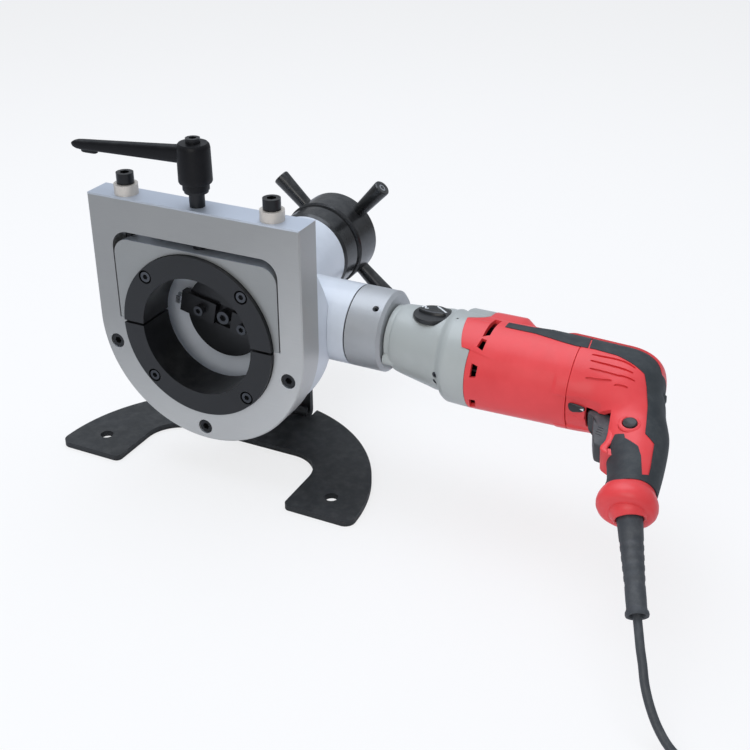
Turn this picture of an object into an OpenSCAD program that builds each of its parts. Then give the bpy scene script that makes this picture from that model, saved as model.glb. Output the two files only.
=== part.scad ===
// Pipe end facing machine: a clamp plate with a rising upper jaw, a cast gear housing with a hand-fed
// facing spindle, a bent stand, and a corded pistol drill that turns the spindle through a crown gear.
// The origin is on the bore axis, in the clamp plate's front face.
// X runs to the right, towards the drill, Y along the pipe, away from the reader, and Z up.

/* [Clamp plate] */
// Width of the plate, also the diameter of its round lower end
plate_w = 220; // [214:1:236]
// Thickness of the plate
plate_t = 29; // [27:0.5:34]
// Height of the plate's top edge above the bore axis
plate_top = 122; // [119:1:130]
// Chamfer along the plate's front edges
plate_chamfer = 1.2; // [0.5:0.1:2]

/* [Jaw] */
// Diameter of the seat that holds the pipe collets
seat_d = 160; // [156:0.5:162]
// Thickness of the jaw beside its seat
jaw_cheek = 5.7; // [5:0.1:7]
// Thickness of the jaw above its seat
jaw_crown = 2.5; // [2:0.1:4]
// Radius of the jaw's upper corners
jaw_r = 15.7; // [12:0.1:20]
// Height that the jaw lifts
jaw_travel = 7; // [4:0.5:9]
// Free play between the jaw and the plate's window at each side
jaw_gap = 1.3; // [0.8:0.1:1.6]
// Depth of the seat's front step, which takes the collet flange
seat_step = 8; // [6:0.5:10]
// Width of the lip behind the collet flange
seat_lip = 13.5; // [12:0.5:15]

/* [Pipe collets] */
// Wall of the collets between their seat and the pipe
collet_wall = 22; // [21:0.5:27]
// Height that the collet flange stands in front of the plate
collet_proud = 4; // [2:0.5:6]
// Length that the collet spigot reaches behind the plate
collet_tail = 7; // [4:0.5:9]
// Distance of the collet screws inside the seat
collet_screw_in = 8; // [6.5:0.5:9]

/* [Clamp lever] */
// Diameter of the clamp screw
clamp_d = 14; // [12:1:16]
// Height of the clamp screw in sight between the plate and the lever's collar
clamp_show = 13; // [11:1:20]
// Height of the lever's hub
hub_h = 35; // [32:1:40]
// Widest diameter of the lever's hub
hub_d = 29; // [26:1:32]
// Reach of the lever's arm from the clamp screw
arm_reach = 131; // [110:1:150]

/* [Gear housing] */
// Diameter of the housing's flange behind the plate
flange_d = 215; // [208:1:220]
// Thickness of the housing's flange
flange_t = 31; // [29:0.5:36]
// Diameter of the cutter chamber
chamber_d = 152; // [149:1:160]
// Depth of the cutter chamber
chamber_h = 27; // [25:0.5:29]
// Diameter of the feed neck
neck_d = 85.6; // [84:0.2:92]
// Length of the feed neck behind the flange
neck_len = 151.6; // [148:0.2:170]
// Distance of the drive branch's axis behind the plate
branch_back = 58; // [57:0.5:60]
// Diameter of the drive branch
branch_d = 76.8; // [74:0.2:80]
// Reach of the drive branch from the feed axis
branch_len = 124; // [118:1:135]

/* [Feed wheel] */
// Length of the fixed feed flange
feed_flange_len = 31.4; // [29:0.2:36]
// Diameter of the turning drum
drum_d = 93.4; // [90:0.2:100]
// Length of the turning drum
drum_len = 40; // [36:1:48]
// Reach of the spokes from the feed axis
spoke_reach = 87.8; // [80:0.2:96]
// Diameter of a spoke at its root
spoke_root_d = 11.5; // [10:0.5:12.5]
// Diameter of a spoke at its end
spoke_end_d = 14.5; // [13:0.5:17]
// Travel of the facing head towards the pipe
feed_travel = 15; // [8:1:15]

/* [Facing head] */
// Diameter of the cutter head
head_d = 83; // [76:1:90]
// Thickness of the cutter head
head_t = 9.4; // [8:0.2:10]
// Diameter of the main spindle
spindle_d = 28; // [24:0.5:30]
// Radius of the circle that the cutting tips turn on
tip_r = 54.5; // [50:0.5:55]

/* [Drive gears] */
// Gear module of the crown gear and its pinion
gear_m = 1.5; // [1.45:0.05:1.5]
// Diameter of the drive shaft
shaft_d = 20; // [16:0.5:22]

/* [Drive collar] */
// Length of the collar that holds the drill
collar_len = 36; // [34:1:42]
// Diameter of the drill's clamping neck
drill_neck_d = 43; // [41:1:45]

/* [Drill] */
// Turn of the drill about the drive axis, from its handle hanging straight down
drill_roll = 75; // [60:1:80]
// Diameter of the motor housing at its front
motor_front_d = 83; // [81:0.5:86]
// Diameter of the motor housing at the handle seam
motor_rear_d = 79.2; // [79:0.2:81]
// Length of the motor housing
motor_len = 107.5; // [104:0.5:112]
// Distance of the motor axis below the drill's spindle axis
motor_drop = 15; // [14.5:0.1:15]
// Travel of the trigger
trigger_travel = 8; // [5:0.5:8]
// Travel of the lock button
lock_travel = 3; // [2:0.5:3]
// Diameter of the speed knob
knob_d = 34; // [30:0.5:36]

/* [Stand] */
// Height of the bore axis above the floor
axis_h = 152; // [148:1:160]
// Thickness of the stand's sheet
sheet_t = 6; // [5:0.5:8]
// Radius of the stand's outer edge
foot_r = 165; // [158:1:175]
// Half width of the notch between the feet
notch_hw = 94; // [88:1:100]
// Distance between the two foot holes
hole_span = 260; // [250:1:268]
// Diameter of the foot holes
foot_hole_d = 13; // [10:0.5:15]

/* [Cord] */
// Diameter of the cord
cord_d = 7; // [6:0.1:7]
// Number of layers in the coil
coil_layers = 4; // [2:2:4]
// Turns in each layer of the coil
coil_turns = 3.25; // [2:0.25:3.25]

/* [Hidden] */
$fn = 64;
eps = 0.01;
// Clearances: face seat, screw in its hole, running shaft, loose pocket
seat_gap = 0.2;
screw_gap = 0.1;
run_gap = 0.05;
loose_gap = 0.3;

seat_r = seat_d / 2;
lip_r = seat_r - seat_lip;
jaw_hw = seat_r + jaw_cheek;
jaw_top = seat_r + jaw_crown;
jaw_bottom = 2;
ledge_z = jaw_bottom - loose_gap;
jaw_depth = plate_t - loose_gap;
window_hw = jaw_hw + jaw_gap;
window_top = jaw_top + jaw_travel + 0.5;
window_r = jaw_r + jaw_gap;
mid_y = plate_t / 2;

collet_r = seat_r - 0.5;
collet_bore = seat_d - 2 * collet_wall;
collet_screw_r = seat_r - collet_screw_in;
spigot_r = lip_r - 0.5;
collet_back = plate_t + collet_tail;
collet_screw_d = 6;
plate_screw_d = 8;
plate_screw_r = plate_w / 2 - 13;
plate_screw_angles = [-165, -90, -15];
guide_x = jaw_hw - 9.7;
guide_d = 10;
bush_d = 22;
bush_body_d = 16;
bush_rise = 9.5;
lever_z = plate_top + clamp_show;
lever_collar_h = 9.5;
hub_z = lever_z + lever_collar_h;
hub_top = hub_z + hub_h;
foot_pin_d = 12;
cap_screw_d = 8;
foot_depth = 10;

flange_y = plate_t + flange_t;
floor_y = plate_t + chamber_h;
branch_y = plate_t + branch_back;
base_screw_r = neck_d / 2 + 5.2;
base_d = 2 * (base_screw_r + 6);
base_t = 8;
base_screw_angles = [80, 125, 170, 215];
neck_y = flange_y + neck_len;
feed_y = neck_y + feed_flange_len;
drum_y = feed_y + loose_gap;
drum_end = drum_y + drum_len;
spoke_y = drum_y + 0.68 * drum_len;
spoke_angles = [48, 138, 228, 318];

// Crown gear and pinion: a face gear of 40 straight teeth and a spur pinion of 20
crown_teeth = 40;
pinion_teeth = 20;
pinion_r = gear_m * pinion_teeth / 2;
crown_r = gear_m * crown_teeth / 2;
tooth_top = 0.8 * gear_m;
tooth_root = 1.2 * gear_m;
crown_tip_y = branch_y + pinion_r - 0.7 * gear_m;
crown_face_y = branch_y + pinion_r + 1.3 * gear_m;
crown_web = 6;
crown_hub_d = spindle_d + 14;
cavity_d = neck_d - 15.6;
cover_t = 3;
cover_plug = 10;
cover_d = cavity_d + 12;
crown_bearing_y = crown_face_y + crown_web;
crown_bearing_w = 12;
quill_d = 60;
quill_bore_y = crown_bearing_y + crown_bearing_w + 6;
quill_len = 62;
quill_y = quill_bore_y + 8 + feed_travel;
screw_d = 40;
tail_y = drum_end - 12;
head_y = floor_y - 0.6 - head_t;
spindle_r = spindle_d / 2;
spindle_end = quill_y + 34;

// The radial slot across the cutter head's face and the two tool holders in it
slot_w = 22;
slot_deep = 4;
holder_angle = 168;
holder_out = 47;
holder_in = 9;

branch_bore_d = 44;
spigot_d = 56;
spigot_len = 7;
seal_t = 1.4;
collar_x = branch_len + seal_t;
collar_end = branch_len + collar_len;
neck_x = collar_x + spigot_len + 2;
face_x = collar_end + 1;

// Drill, measured along the drive axis (x) and across it from the spindle axis (s, towards the handle)
red_x = face_x + 72;
joint_x = red_x + 15;
seam_x = red_x + motor_len;
motor_front_r = motor_front_d / 2;
motor_rear_r = motor_rear_d / 2;
field_r = 37;
motor_bore_r = field_r + 0.4;
armature_r = 24;
spur_m = 0.75;
gear_teeth = 32;
spur_teeth = 8;
gear_x = face_x + 44;
lug_r = 31;
case_screw_angles = [190, 250, 310];
knob_x = face_x + 40;
knob_back = 12;
knob_rise = 34;
grip_x = seam_x + 76;
lever_pin_r = 3;

// Stand
floor_z = -axis_h;
arc_y = -13;
foot_front = -20;
notch_back = 66;
notch_r = 35;
web_y = plate_t + 111;
web_hw = 37;
web_top = -neck_d / 2 - 5;
boss_hw = 30;
boss_low = -95;
bend_r = 2;
bend_lap = 3;
foot_hole_y = 10;
stand_screw_d = 8;
stand_screw_x = 20;
stand_screw_z = [-60, -84];

// Cord route: the boot's mouth, the fall to the floor, and the run to the coil
boot_root = [418, -41, -34.5];
boot_dir = [0.34, -0.78, -0.525];
boot_len = 90;
lie_z = floor_z + cord_d / 2;
coil_centre = [636, -112];
coil_lift = 1.5;
coil_pitch = cord_d + 0.5;
coil_in = 30;
coil_out = coil_in + coil_pitch * coil_turns;
layer_h = cord_d + 0.5;
coil_low = lie_z + coil_lift;
coil_high = coil_low + (coil_layers - 1) * layer_h;
start_y = coil_centre[1] - coil_out;
start_x = coil_centre[0] - cord_d;
end_x = coil_centre[0] + cord_d;
lead_path = [
    boot_root + 82.6 * boot_dir, boot_root + 88 * boot_dir, boot_root + 94 * boot_dir,
    [453, -121, -88], [457, -129, -95],
    [461, -135, -103], [466, -143, -114], [473, -151, -125], [482, -159, -135], [493, -166, -143],
    [506, -171, -147.5], [520, -174, lie_z], [540, -175, lie_z], [562, -174, lie_z],
    [584, -171, lie_z + 0.5], [602, -168, coil_low], [614, start_y, coil_low],
    [622, start_y, coil_low], [start_x, start_y, coil_low]
];
plug_z = floor_z + 13.3;
plug_face = [640, -35, plug_z];
plug_turn = 150;
plug_back = [-cos(plug_turn), -sin(plug_turn), 0];
tail_path = [
    [end_x, start_y, coil_high], [end_x + 6, start_y, coil_high], [end_x + 12, start_y, coil_high],
    [668, -165, coil_high - 2], [682, -158, coil_high - 6], [695, -143, coil_high - 12],
    [702, -124, coil_high - 19], [702, -103, lie_z], [696, -83, lie_z], [684, -66, lie_z],
    [671, -53, lie_z + 3], [663, -48, lie_z + 6], plug_face + 16 * plug_back,
    plug_face + 8 * plug_back, plug_face
];

// Places and general shapes

// Stands its children's XY drawing up in the XZ plane, from y towards the rear by depth
module upright(y, depth) {
    translate([0, y + depth, 0]) rotate([90, 0, 0]) linear_extrude(depth) children();
}

// Turns a solid along +Z to lie along +Y from y
module along_y(y) { translate([0, y, 0]) rotate([-90, 0, 0]) children(); }

// Turns a solid along +Z to lie along +X on the drive axis from x
module along_x(x) { translate([x, branch_y, 0]) rotate([0, 90, 0]) children(); }

// The drill's own frame: x along the spindle, y across it, and the handle along -Z
module in_drill() { translate([0, branch_y, 0]) rotate([-drill_roll, 0, 0]) children(); }

// A round bar in the drill's frame along x from x0, s below the spindle axis
module drill_bar(x0, len, r, s = 0, side = 0) {
    translate([x0, side, -s]) rotate([0, 90, 0]) cylinder(r = r, h = len);
}

// A drawing with flat base, half width hw and rounded upper corners
module arch(hw, low, high, r) {
    translate([-hw, low]) square([2 * hw, high - low - r]);
    translate([r - hw, low]) square([2 * (hw - r), high - low]);
    for (side = [-1, 1]) translate([side * (hw - r), high - r]) circle(r);
}

module tube(r_out, r_in, h) {
    difference() {
        cylinder(r = r_out, h = h);
        translate([0, 0, -1]) cylinder(r = r_in, h = h + 2);
    }
}

// Socket head cap screw: its head's underside at z = 0, the shank along +Z
module cap_screw(d, len) {
    head_r = 0.75 * d + 0.5;
    difference() {
        translate([0, 0, -d]) cylinder(r = head_r, h = d);
        translate([0, 0, -d - 1]) cylinder(d = 0.9 * d, h = 0.6 * d + 1, $fn = 6);
    }
    cylinder(d = d, h = len);
}

// The hole for a cap screw, with a counterbore of the given radius and depth above z = 0
module screw_hole(d, len, cup_r = 0, cup_h = 0) {
    cylinder(r = d / 2 + screw_gap, h = len + 0.5);
    if (cup_h > 0) translate([0, 0, -cup_h]) cylinder(r = cup_r, h = cup_h + seat_gap);
}

// Straight-sided spur gear drawing
module spur(teeth, m, root, top, root_half, top_half) {
    r = m * teeth / 2;
    circle(r - root);
    for (i = [0 : teeth - 1]) rotate(360 * i / teeth)
        polygon([[r - root - 0.4, -root_half], [r + top, -top_half], [r + top, top_half],
                 [r - root - 0.4, root_half]]);
}

// Clamp plate and jaw

module seat_cut(r_front, r_back, extra) {
    upright(-extra, seat_step + extra) circle(r_front);
    upright(seat_step - eps, plate_t) circle(r_back);
}

module plate_chamfers() {
    r = plate_w / 2;
    c = plate_chamfer;
    rotate([90, 0, 0]) rotate([0, 0, 180]) rotate_extrude(angle = 180)
        polygon([[r - c - 1, 1], [r + 1, 1], [r + 1, -c - 1]]);
    for (side = [-1, 1]) translate([0, 0, -eps])
        linear_extrude(plate_top + 1) polygon([[side * (r - c - 1), -1], [side * (r + 1), -1],
                                               [side * (r + 1), c + 1]]);
    translate([-r - 1, 0, 0]) rotate([90, 0, 90]) linear_extrude(plate_w + 2)
        polygon([[-1, plate_top - c - 1], [-1, plate_top + 1], [c + 1, plate_top + 1]]);
}

module at_guides(z) { for (side = [-1, 1]) translate([side * guide_x, mid_y, z]) children(); }

module at_plate_screws(y) {
    for (a = plate_screw_angles) translate([plate_screw_r * cos(a), 0, plate_screw_r * sin(a)])
        along_y(y) children();
}

module at_collet_screws(y, upper) {
    for (a = upper ? [45, 135] : [225, 315])
        translate([collet_screw_r * cos(a), 0, collet_screw_r * sin(a)]) along_y(y) children();
}

module clamp_plate() {
    color("silver") difference() {
        upright(0, plate_t) {
            circle(plate_w / 2, $fn = 128);
            translate([-plate_w / 2, 0]) square([plate_w, plate_top]);
        }
        upright(-1, plate_t + 2) arch(window_hw, ledge_z, window_top, window_r);
        seat_cut(seat_r, lip_r, 1);
        plate_chamfers();
        at_guides(0) translate([0, 0, window_top - 20]) {
            cylinder(r = bush_body_d / 2 + screw_gap, h = plate_top);
        }
        translate([0, mid_y, window_top - 5]) cylinder(d = clamp_d + 2 * run_gap, h = 60);
        at_plate_screws(9) screw_hole(plate_screw_d, 30, 7.4, 10);
        at_collet_screws(seat_step, false) screw_hole(collet_screw_d, 14);
    }
}

module plate_screws() {
    color("black") at_plate_screws(9) cap_screw(plate_screw_d, 36);
}

module guide_bushes() {
    color("tan") at_guides(0) {
        translate([0, 0, plate_top]) tube(bush_d / 2, guide_d / 2 + run_gap, bush_rise);
        translate([0, 0, window_top + 1]) tube(bush_body_d / 2, guide_d / 2 + run_gap,
                                               plate_top - window_top - 1 + eps);
    }
}

module upper_jaw() {
    color("silver") difference() {
        upright(0, jaw_depth) arch(jaw_hw, jaw_bottom, jaw_top, jaw_r);
        seat_cut(seat_r, lip_r, 1);
        at_guides(jaw_top - 22) cylinder(r = guide_d / 2 + screw_gap, h = 40);
        translate([0, mid_y, jaw_top - foot_depth - loose_gap])
            cylinder(d = foot_pin_d + 2 * run_gap, h = 30);
        at_collet_screws(seat_step, true) screw_hole(collet_screw_d, 14);
    }
}

module guide_screws() {
    color("dimgray") at_guides(plate_top + bush_rise + loose_gap) rotate([180, 0, 0])
        cap_screw(guide_d, plate_top + bush_rise - jaw_top + 20);
}

// One half of the split collet, with its flange in front and its spigot through the lip
module collet_half(upper) {
    low = upper ? jaw_bottom : -seat_r - 1;
    high = upper ? seat_r + 1 : -0.5;
    difference() {
        intersection() {
            union() {
                upright(-collet_proud, seat_step - seat_gap + collet_proud) circle(collet_r, $fn = 96);
                upright(0, collet_back) circle(spigot_r, $fn = 96);
            }
            translate([-seat_r - 1, -20, low]) cube([seat_d + 2, 100, high - low]);
        }
        upright(-20, 100) circle(d = collet_bore, $fn = 96);
        at_collet_screws(2.5, upper) screw_hole(collet_screw_d, 8, 6.7, 12);
    }
}

module lower_collet() { color([0.12, 0.12, 0.13]) collet_half(false); }

module upper_collet() { color([0.12, 0.12, 0.13]) collet_half(true); }

module lower_collet_screws() {
    color("gray") at_collet_screws(2.5 - seat_gap, false) cap_screw(collet_screw_d, 18);
}

module upper_collet_screws() {
    color("gray") at_collet_screws(2.5 - seat_gap, true) cap_screw(collet_screw_d, 18);
}

// Clamp lever

module clamp_screw() {
    color("black") translate([0, mid_y, 0]) difference() {
        union() {
            translate([0, 0, jaw_top - foot_depth]) cylinder(d = foot_pin_d, h = foot_depth + 1);
            translate([0, 0, jaw_top + 0.5]) cylinder(d = clamp_d, h = hub_z + 20 - jaw_top);
            translate([0, 0, lever_z]) cylinder(d = 21.5, h = lever_collar_h);
        }
        translate([0, 0, hub_z]) cylinder(d = cap_screw_d + 2 * screw_gap, h = 40);
    }
}

module clamp_lever() {
    hub_r = hub_d / 2;
    color([0.1, 0.1, 0.11]) translate([0, mid_y, 0]) difference() {
        union() {
            translate([0, 0, hub_z + seat_gap]) rotate_extrude()
                polygon([[0, 0], [hub_r - 2.5, 0], [hub_r - 0.5, 5], [hub_r, 11], [hub_r - 1, 22],
                         [hub_r - 3, hub_h - 3], [hub_r - 5, hub_h - seat_gap], [0, hub_h - seat_gap]]);
            lever_arm();
        }
        translate([0, 0, hub_z - 1]) cylinder(d = clamp_d + 2 * screw_gap, h = 22);
        translate([0, 0, hub_z]) cylinder(d = cap_screw_d + 2 * screw_gap, h = hub_h + 1);
        translate([0, 0, hub_top - 4]) cylinder(r = 0.75 * cap_screw_d + 0.7, h = 10);
    }
}

// The arm tapers and drops a little towards its tip, with a small lug under the end
module lever_arm() {
    arm_mid = -0.5 * arm_reach;
    arm_tip = 6 - arm_reach;
    hull() {
        arm_disc(-6, hub_z + 17, 9.6, 11);
        arm_disc(arm_mid, hub_z + 17.3, 8, 10);
    }
    hull() {
        arm_disc(arm_mid, hub_z + 17.3, 8, 10);
        arm_disc(arm_tip, hub_z + 16, 6, 9);
    }
    hull() {
        arm_disc(arm_tip + 2, hub_z + 9.5, 2.5, 6);
        arm_disc(arm_tip + 12, hub_z + 9.5, 2.5, 6);
        arm_disc(arm_tip + 8, hub_z + 14, 5, 6);
    }
}

module arm_disc(x, z, r, w) {
    translate([x, -w / 2, z]) rotate([-90, 0, 0]) cylinder(r = r, h = w, $fn = 32);
}

module lever_cap_screw() {
    color("dimgray") translate([0, mid_y, hub_top - 4 + seat_gap]) rotate([180, 0, 0])
        cap_screw(cap_screw_d, hub_h - 8);
}

// Gear housing

// The ring behind the plate, with the cutter chamber in its front
module chamber_ring() {
    color([0.83, 0.87, 0.9]) difference() {
        along_y(plate_t) cylinder(d = flange_d, h = flange_t, $fn = 128);
        along_y(plate_t - 1) cylinder(d = chamber_d, h = chamber_h + 1, $fn = 96);
        along_y(floor_y - 1) cylinder(d = cover_d + 2 * seat_gap, h = cover_t + 1);
        along_y(floor_y) cylinder(d = cavity_d, h = flange_t);
        at_plate_screws(9) screw_hole(plate_screw_d, 38);
        at_cover_screws(floor_y) screw_hole(3, 11);
        at_base_screws() screw_hole(5, base_t + 10);
    }
}

// The casting behind the ring: the feed neck, the drive branch and the boss for the stand
module gear_housing() {
    start_y = flange_y - 5;
    color([0.83, 0.87, 0.9]) difference() {
        union() {
            along_y(start_y) cylinder(d = neck_d, h = neck_y - start_y, $fn = 96);
            along_y(start_y) cylinder(d = base_d, h = base_t + 5);
            along_x(0) cylinder(d = branch_d, h = branch_len, $fn = 96);
            along_x(0) cylinder(d = spigot_d, h = branch_len + spigot_len);
            translate([-boss_hw, start_y, boss_low])
                cube([2 * boss_hw, web_y - start_y, -boss_low - 20]);
        }
        along_y(plate_t) cylinder(d = flange_d + 2 * seat_gap, h = flange_t + seat_gap);
        along_y(floor_y) cylinder(d = cavity_d, h = crown_bearing_y + crown_bearing_w - floor_y);
        along_y(floor_y) cylinder(d = cavity_d - 14, h = quill_bore_y - floor_y + 1);
        along_y(quill_bore_y) cylinder(d = quill_d + 2 * run_gap, h = neck_y);
        along_x(cavity_d / 2 - 8) cylinder(d = branch_bore_d, h = branch_len);
        at_cover_screws(floor_y) screw_hole(3, 11);
        at_stand_screws() screw_hole(stand_screw_d, 22);
        at_base_screws() screw_hole(5, 20);
    }
}

// Screws from behind through the casting's foot into the ring
module at_base_screws() {
    for (a = base_screw_angles)
        translate([base_screw_r * cos(a), flange_y + base_t + seat_gap, base_screw_r * sin(a)])
            rotate([90, 0, 0]) children();
}

module at_cover_screws(y) {
    for (i = [0 : 5]) along_y(y) rotate(60 * i + 30) translate([cavity_d / 2 + 3, 0, 0]) children();
}

// Front bearing cover: a plate flush with the chamber floor, whose plug fills the cavity's mouth
module bearing_cover() {
    color([0.8, 0.84, 0.87]) difference() {
        union() {
            along_y(floor_y) cylinder(d = cover_d, h = cover_t - seat_gap);
            along_y(floor_y) cylinder(d = cavity_d - 2 * screw_gap, h = cover_t + cover_plug - 3);
        }
        along_y(floor_y - 1) cylinder(r = spindle_r + run_gap, h = 30);
        at_cover_screws(floor_y + 2) screw_hole(3, 12, 2.9, 3);
    }
}

// The cover's button head screws, the stand's cap screws and those of the casting's foot
module housing_screws() {
    color("gray") {
        at_cover_screws(floor_y + 0.2) {
            difference() {
                cylinder(r = 2.7, h = 1.9);
                translate([0, 0, -1]) cylinder(d = 2, h = 2, $fn = 6);
            }
            translate([0, 0, 1.8]) cylinder(d = 3, h = 9);
        }
        at_stand_screws() cap_screw(stand_screw_d, 22);
        at_base_screws() cap_screw(5, base_t + flange_t - chamber_h);
    }
}

// One bearing on the crown gear's hub and two on the drive shaft
module gear_bearings() {
    color("lightgray") {
        along_y(crown_bearing_y + 0.1)
            tube(cavity_d / 2 - run_gap, crown_hub_d / 2 + run_gap, crown_bearing_w - 0.2);
        for (x = [40, branch_len - 24]) along_x(x)
            tube(branch_bore_d / 2 - run_gap, shaft_d / 2 + run_gap, 12);
    }
}

// Stand

module stand_outline() {
    outer_r = 10;
    inner_r = 6;
    reach = foot_r - outer_r;
    rise = foot_front + outer_r - arc_y;
    cx = sqrt(reach * reach - rise * rise);
    difference() {
        intersection() {
            translate([0, arc_y]) circle(foot_r, $fn = 128);
            translate([-foot_r, foot_front]) square([2 * foot_r, 2 * foot_r]);
        }
        arch(notch_hw, foot_front - 20, notch_back, notch_r);
        for (side = [-1, 1]) {
            translate([side * cx, foot_front + outer_r]) difference() {
                polygon([[0, 0], [side * foot_r * cx / reach, foot_r * rise / reach],
                         [side * foot_r, -foot_r / 2], [0, -foot_r / 2]]);
                circle(outer_r);
            }
            translate([side * (notch_hw + inner_r), foot_front + inner_r]) difference() {
                translate([side > 0 ? -inner_r - 1 : 0, -inner_r - 1]) square(inner_r + 1);
                circle(inner_r);
            }
        }
        translate([-web_hw - 4, web_y - bend_r]) square([2 * web_hw + 8, foot_r]);
        for (side = [-1, 1]) translate([side * (web_hw + 2) - 2, web_y - bend_r - 6])
            square([4, foot_r]);
    }
}

// A block drawing with its lower back corner rounded
module bend_block(front, back, low, high, r) {
    translate([front, low]) square([back - r - front, high - low]);
    translate([front, low + r]) square([back - front, high - low - r]);
    translate([back - r, low + r]) circle(r);
}

module stand() {
    lap_y = web_y - bend_r - bend_lap;
    color([0.13, 0.14, 0.15]) difference() {
        union() {
            translate([0, 0, floor_z]) linear_extrude(sheet_t) stand_outline();
            translate([-web_hw, 0, 0]) rotate([90, 0, 90]) linear_extrude(2 * web_hw) difference() {
                bend_block(lap_y, web_y + sheet_t, floor_z, web_top, bend_r + sheet_t);
                bend_block(lap_y - 1, web_y, floor_z + sheet_t, web_top + 1, bend_r);
            }
        }
        for (side = [-1, 1]) translate([side * hole_span / 2, foot_hole_y, floor_z - 1])
            cylinder(d = foot_hole_d, h = sheet_t + 2);
        at_stand_screws() screw_hole(stand_screw_d, 8);
    }
}

module at_stand_screws() {
    for (x = [-stand_screw_x, stand_screw_x], z = stand_screw_z)
        translate([x, web_y + sheet_t + seat_gap, z]) rotate([90, 0, 0]) children();
}

// Facing head and its drive

module crown_gear() {
    color("darkgray") difference() {
        union() {
            along_y(crown_face_y) cylinder(r = crown_r + 1, h = crown_web - 0.3);
            along_y(crown_face_y) cylinder(d = crown_hub_d, h = crown_web + crown_bearing_w + 2);
            for (i = [0 : crown_teeth - 1]) rotate([0, 360 * i / crown_teeth, 0])
                translate([crown_r - 4, crown_tip_y, -0.6])
                    cube([4.8, crown_face_y - crown_tip_y + 1, 1.2]);
        }
        along_y(branch_y) cylinder(r = spindle_r + run_gap, h = 80);
    }
}

module drive_pinion() {
    half_tooth = 180 / pinion_teeth;
    color("gray") along_x(crown_r - 3) difference() {
        rotate(half_tooth) linear_extrude(3) spur(pinion_teeth, gear_m, tooth_root, tooth_top, 0.9, 0.45);
        translate([0, 0, -1]) cylinder(d = shaft_d - 6 + 2 * screw_gap, h = 5);
    }
}

module drive_shaft() {
    color("silver") difference() {
        union() {
            along_x(crown_r - 6) cylinder(d = shaft_d - 6, h = 7);
            along_x(crown_r + 0.2) cylinder(d = shaft_d, h = branch_len - crown_r);
        }
        along_x(branch_len - 14) cylinder(d = 12.4, h = 20, $fn = 6);
    }
}

module drill_spindle() {
    color("silver") {
        along_x(branch_len - 13) cylinder(d = 12, h = 14, $fn = 6);
        along_x(branch_len + 1) cylinder(d = 16, h = gear_x + 12 - branch_len);
        in_drill() translate([gear_x, 0, 0]) rotate([0, 90, 0]) linear_extrude(9)
            spur(gear_teeth, spur_m, 0.9, 0.55, 0.55, 0.3);
    }
}

module main_spindle() {
    color("silver") {
        along_y(head_y + head_t + 0.1) cylinder(r = spindle_r, h = spindle_end - head_y - head_t);
        along_y(spindle_end - 14) cylinder(r = spindle_r + 3, h = 3);
    }
}

module on_head() { rotate([0, -holder_angle, 0]) children(); }

module cutter_head() {
    color([0.1, 0.1, 0.11]) difference() {
        along_y(head_y) cylinder(d = head_d, h = head_t, $fn = 96);
        on_head() translate([-head_d, head_y - 1, -slot_w / 2]) cube([2 * head_d, slot_deep + 1, slot_w]);
        at_tool_screws(head_y) screw_hole(6, 8);
        along_y(head_y) screw_hole(8, 30);
    }
}

module at_tool_screws(y) {
    on_head() for (side = [-1, 1]) translate([side * 24, 0, 0]) along_y(y) children();
}

module tool_holders() {
    color([0.16, 0.16, 0.17]) difference() {
        on_head() for (side = [0, 180]) rotate([0, side, 0])
            translate([holder_in, head_y - 4, -slot_w / 2 + seat_gap])
                cube([holder_out - holder_in, 4 + slot_deep - seat_gap, slot_w - 2 * seat_gap]);
        at_tool_screws(head_y - 6) screw_hole(6, 20);
        on_head() for (side = [0, 180]) rotate([0, side, 0]) translate([30, head_y - 3, -4.2])
            cube([40, 5.2, 8.4]);
    }
}

module tool_bits() {
    color("lightgray") on_head() for (side = [0, 180]) rotate([0, side, 0])
        translate([0, head_y - 2.8, 0]) difference() {
            union() {
                translate([30.2, 0, -4]) cube([tip_r - 31.2, 4.8, 8]);
                translate([tip_r - 6, -3, -4]) cube([5, 4, 8]);
            }
            translate([tip_r - 4, -2, -8]) rotate([0, 0, -35]) cube([8, 14, 16]);
        }
}

module tool_screws() {
    color("gray") {
        at_tool_screws(head_y - 4.2) cap_screw(6, 10);
        along_y(head_y - 0.2 + slot_deep) cap_screw(8, head_t - slot_deep - 0.6);
    }
}

// Feed quill, feed flange and wheel

module feed_quill() {
    color("silver") difference() {
        union() {
            along_y(quill_y) cylinder(d = quill_d, h = quill_len);
            along_y(quill_y + quill_len - 1) cylinder(d = screw_d, h = tail_y - quill_y - quill_len + 1);
        }
        along_y(quill_y - 1) cylinder(r = spindle_r + 8, h = 37);
    }
}

module quill_bearing() {
    color("gold") along_y(quill_y + 2)
        tube(spindle_r + 8 - run_gap, spindle_r + run_gap, 16);
}

module feed_flange() {
    color([0.09, 0.09, 0.1]) difference() {
        along_y(neck_y + seat_gap) rotate_extrude($fn = 96)
            polygon([[20, 0], [neck_d / 2, 0], [neck_d / 2 + 1.7, 4], [neck_d / 2 + 1.7, feed_flange_len - 5],
                     [neck_d / 2, feed_flange_len - 4], [neck_d / 2, feed_flange_len - 2],
                     [neck_d / 2 + 2.5, feed_flange_len - 1], [neck_d / 2 + 2.5, feed_flange_len - 0.2],
                     [20, feed_flange_len - 0.2]]);
        along_y(neck_y - 1) cylinder(d = quill_d + 2 * run_gap, h = 14);
        along_y(neck_y - 1) cylinder(d = screw_d + 1, h = 60);
        along_y(feed_y - 16) cylinder(d = 66 + 2 * run_gap, h = 20);
    }
}

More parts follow.
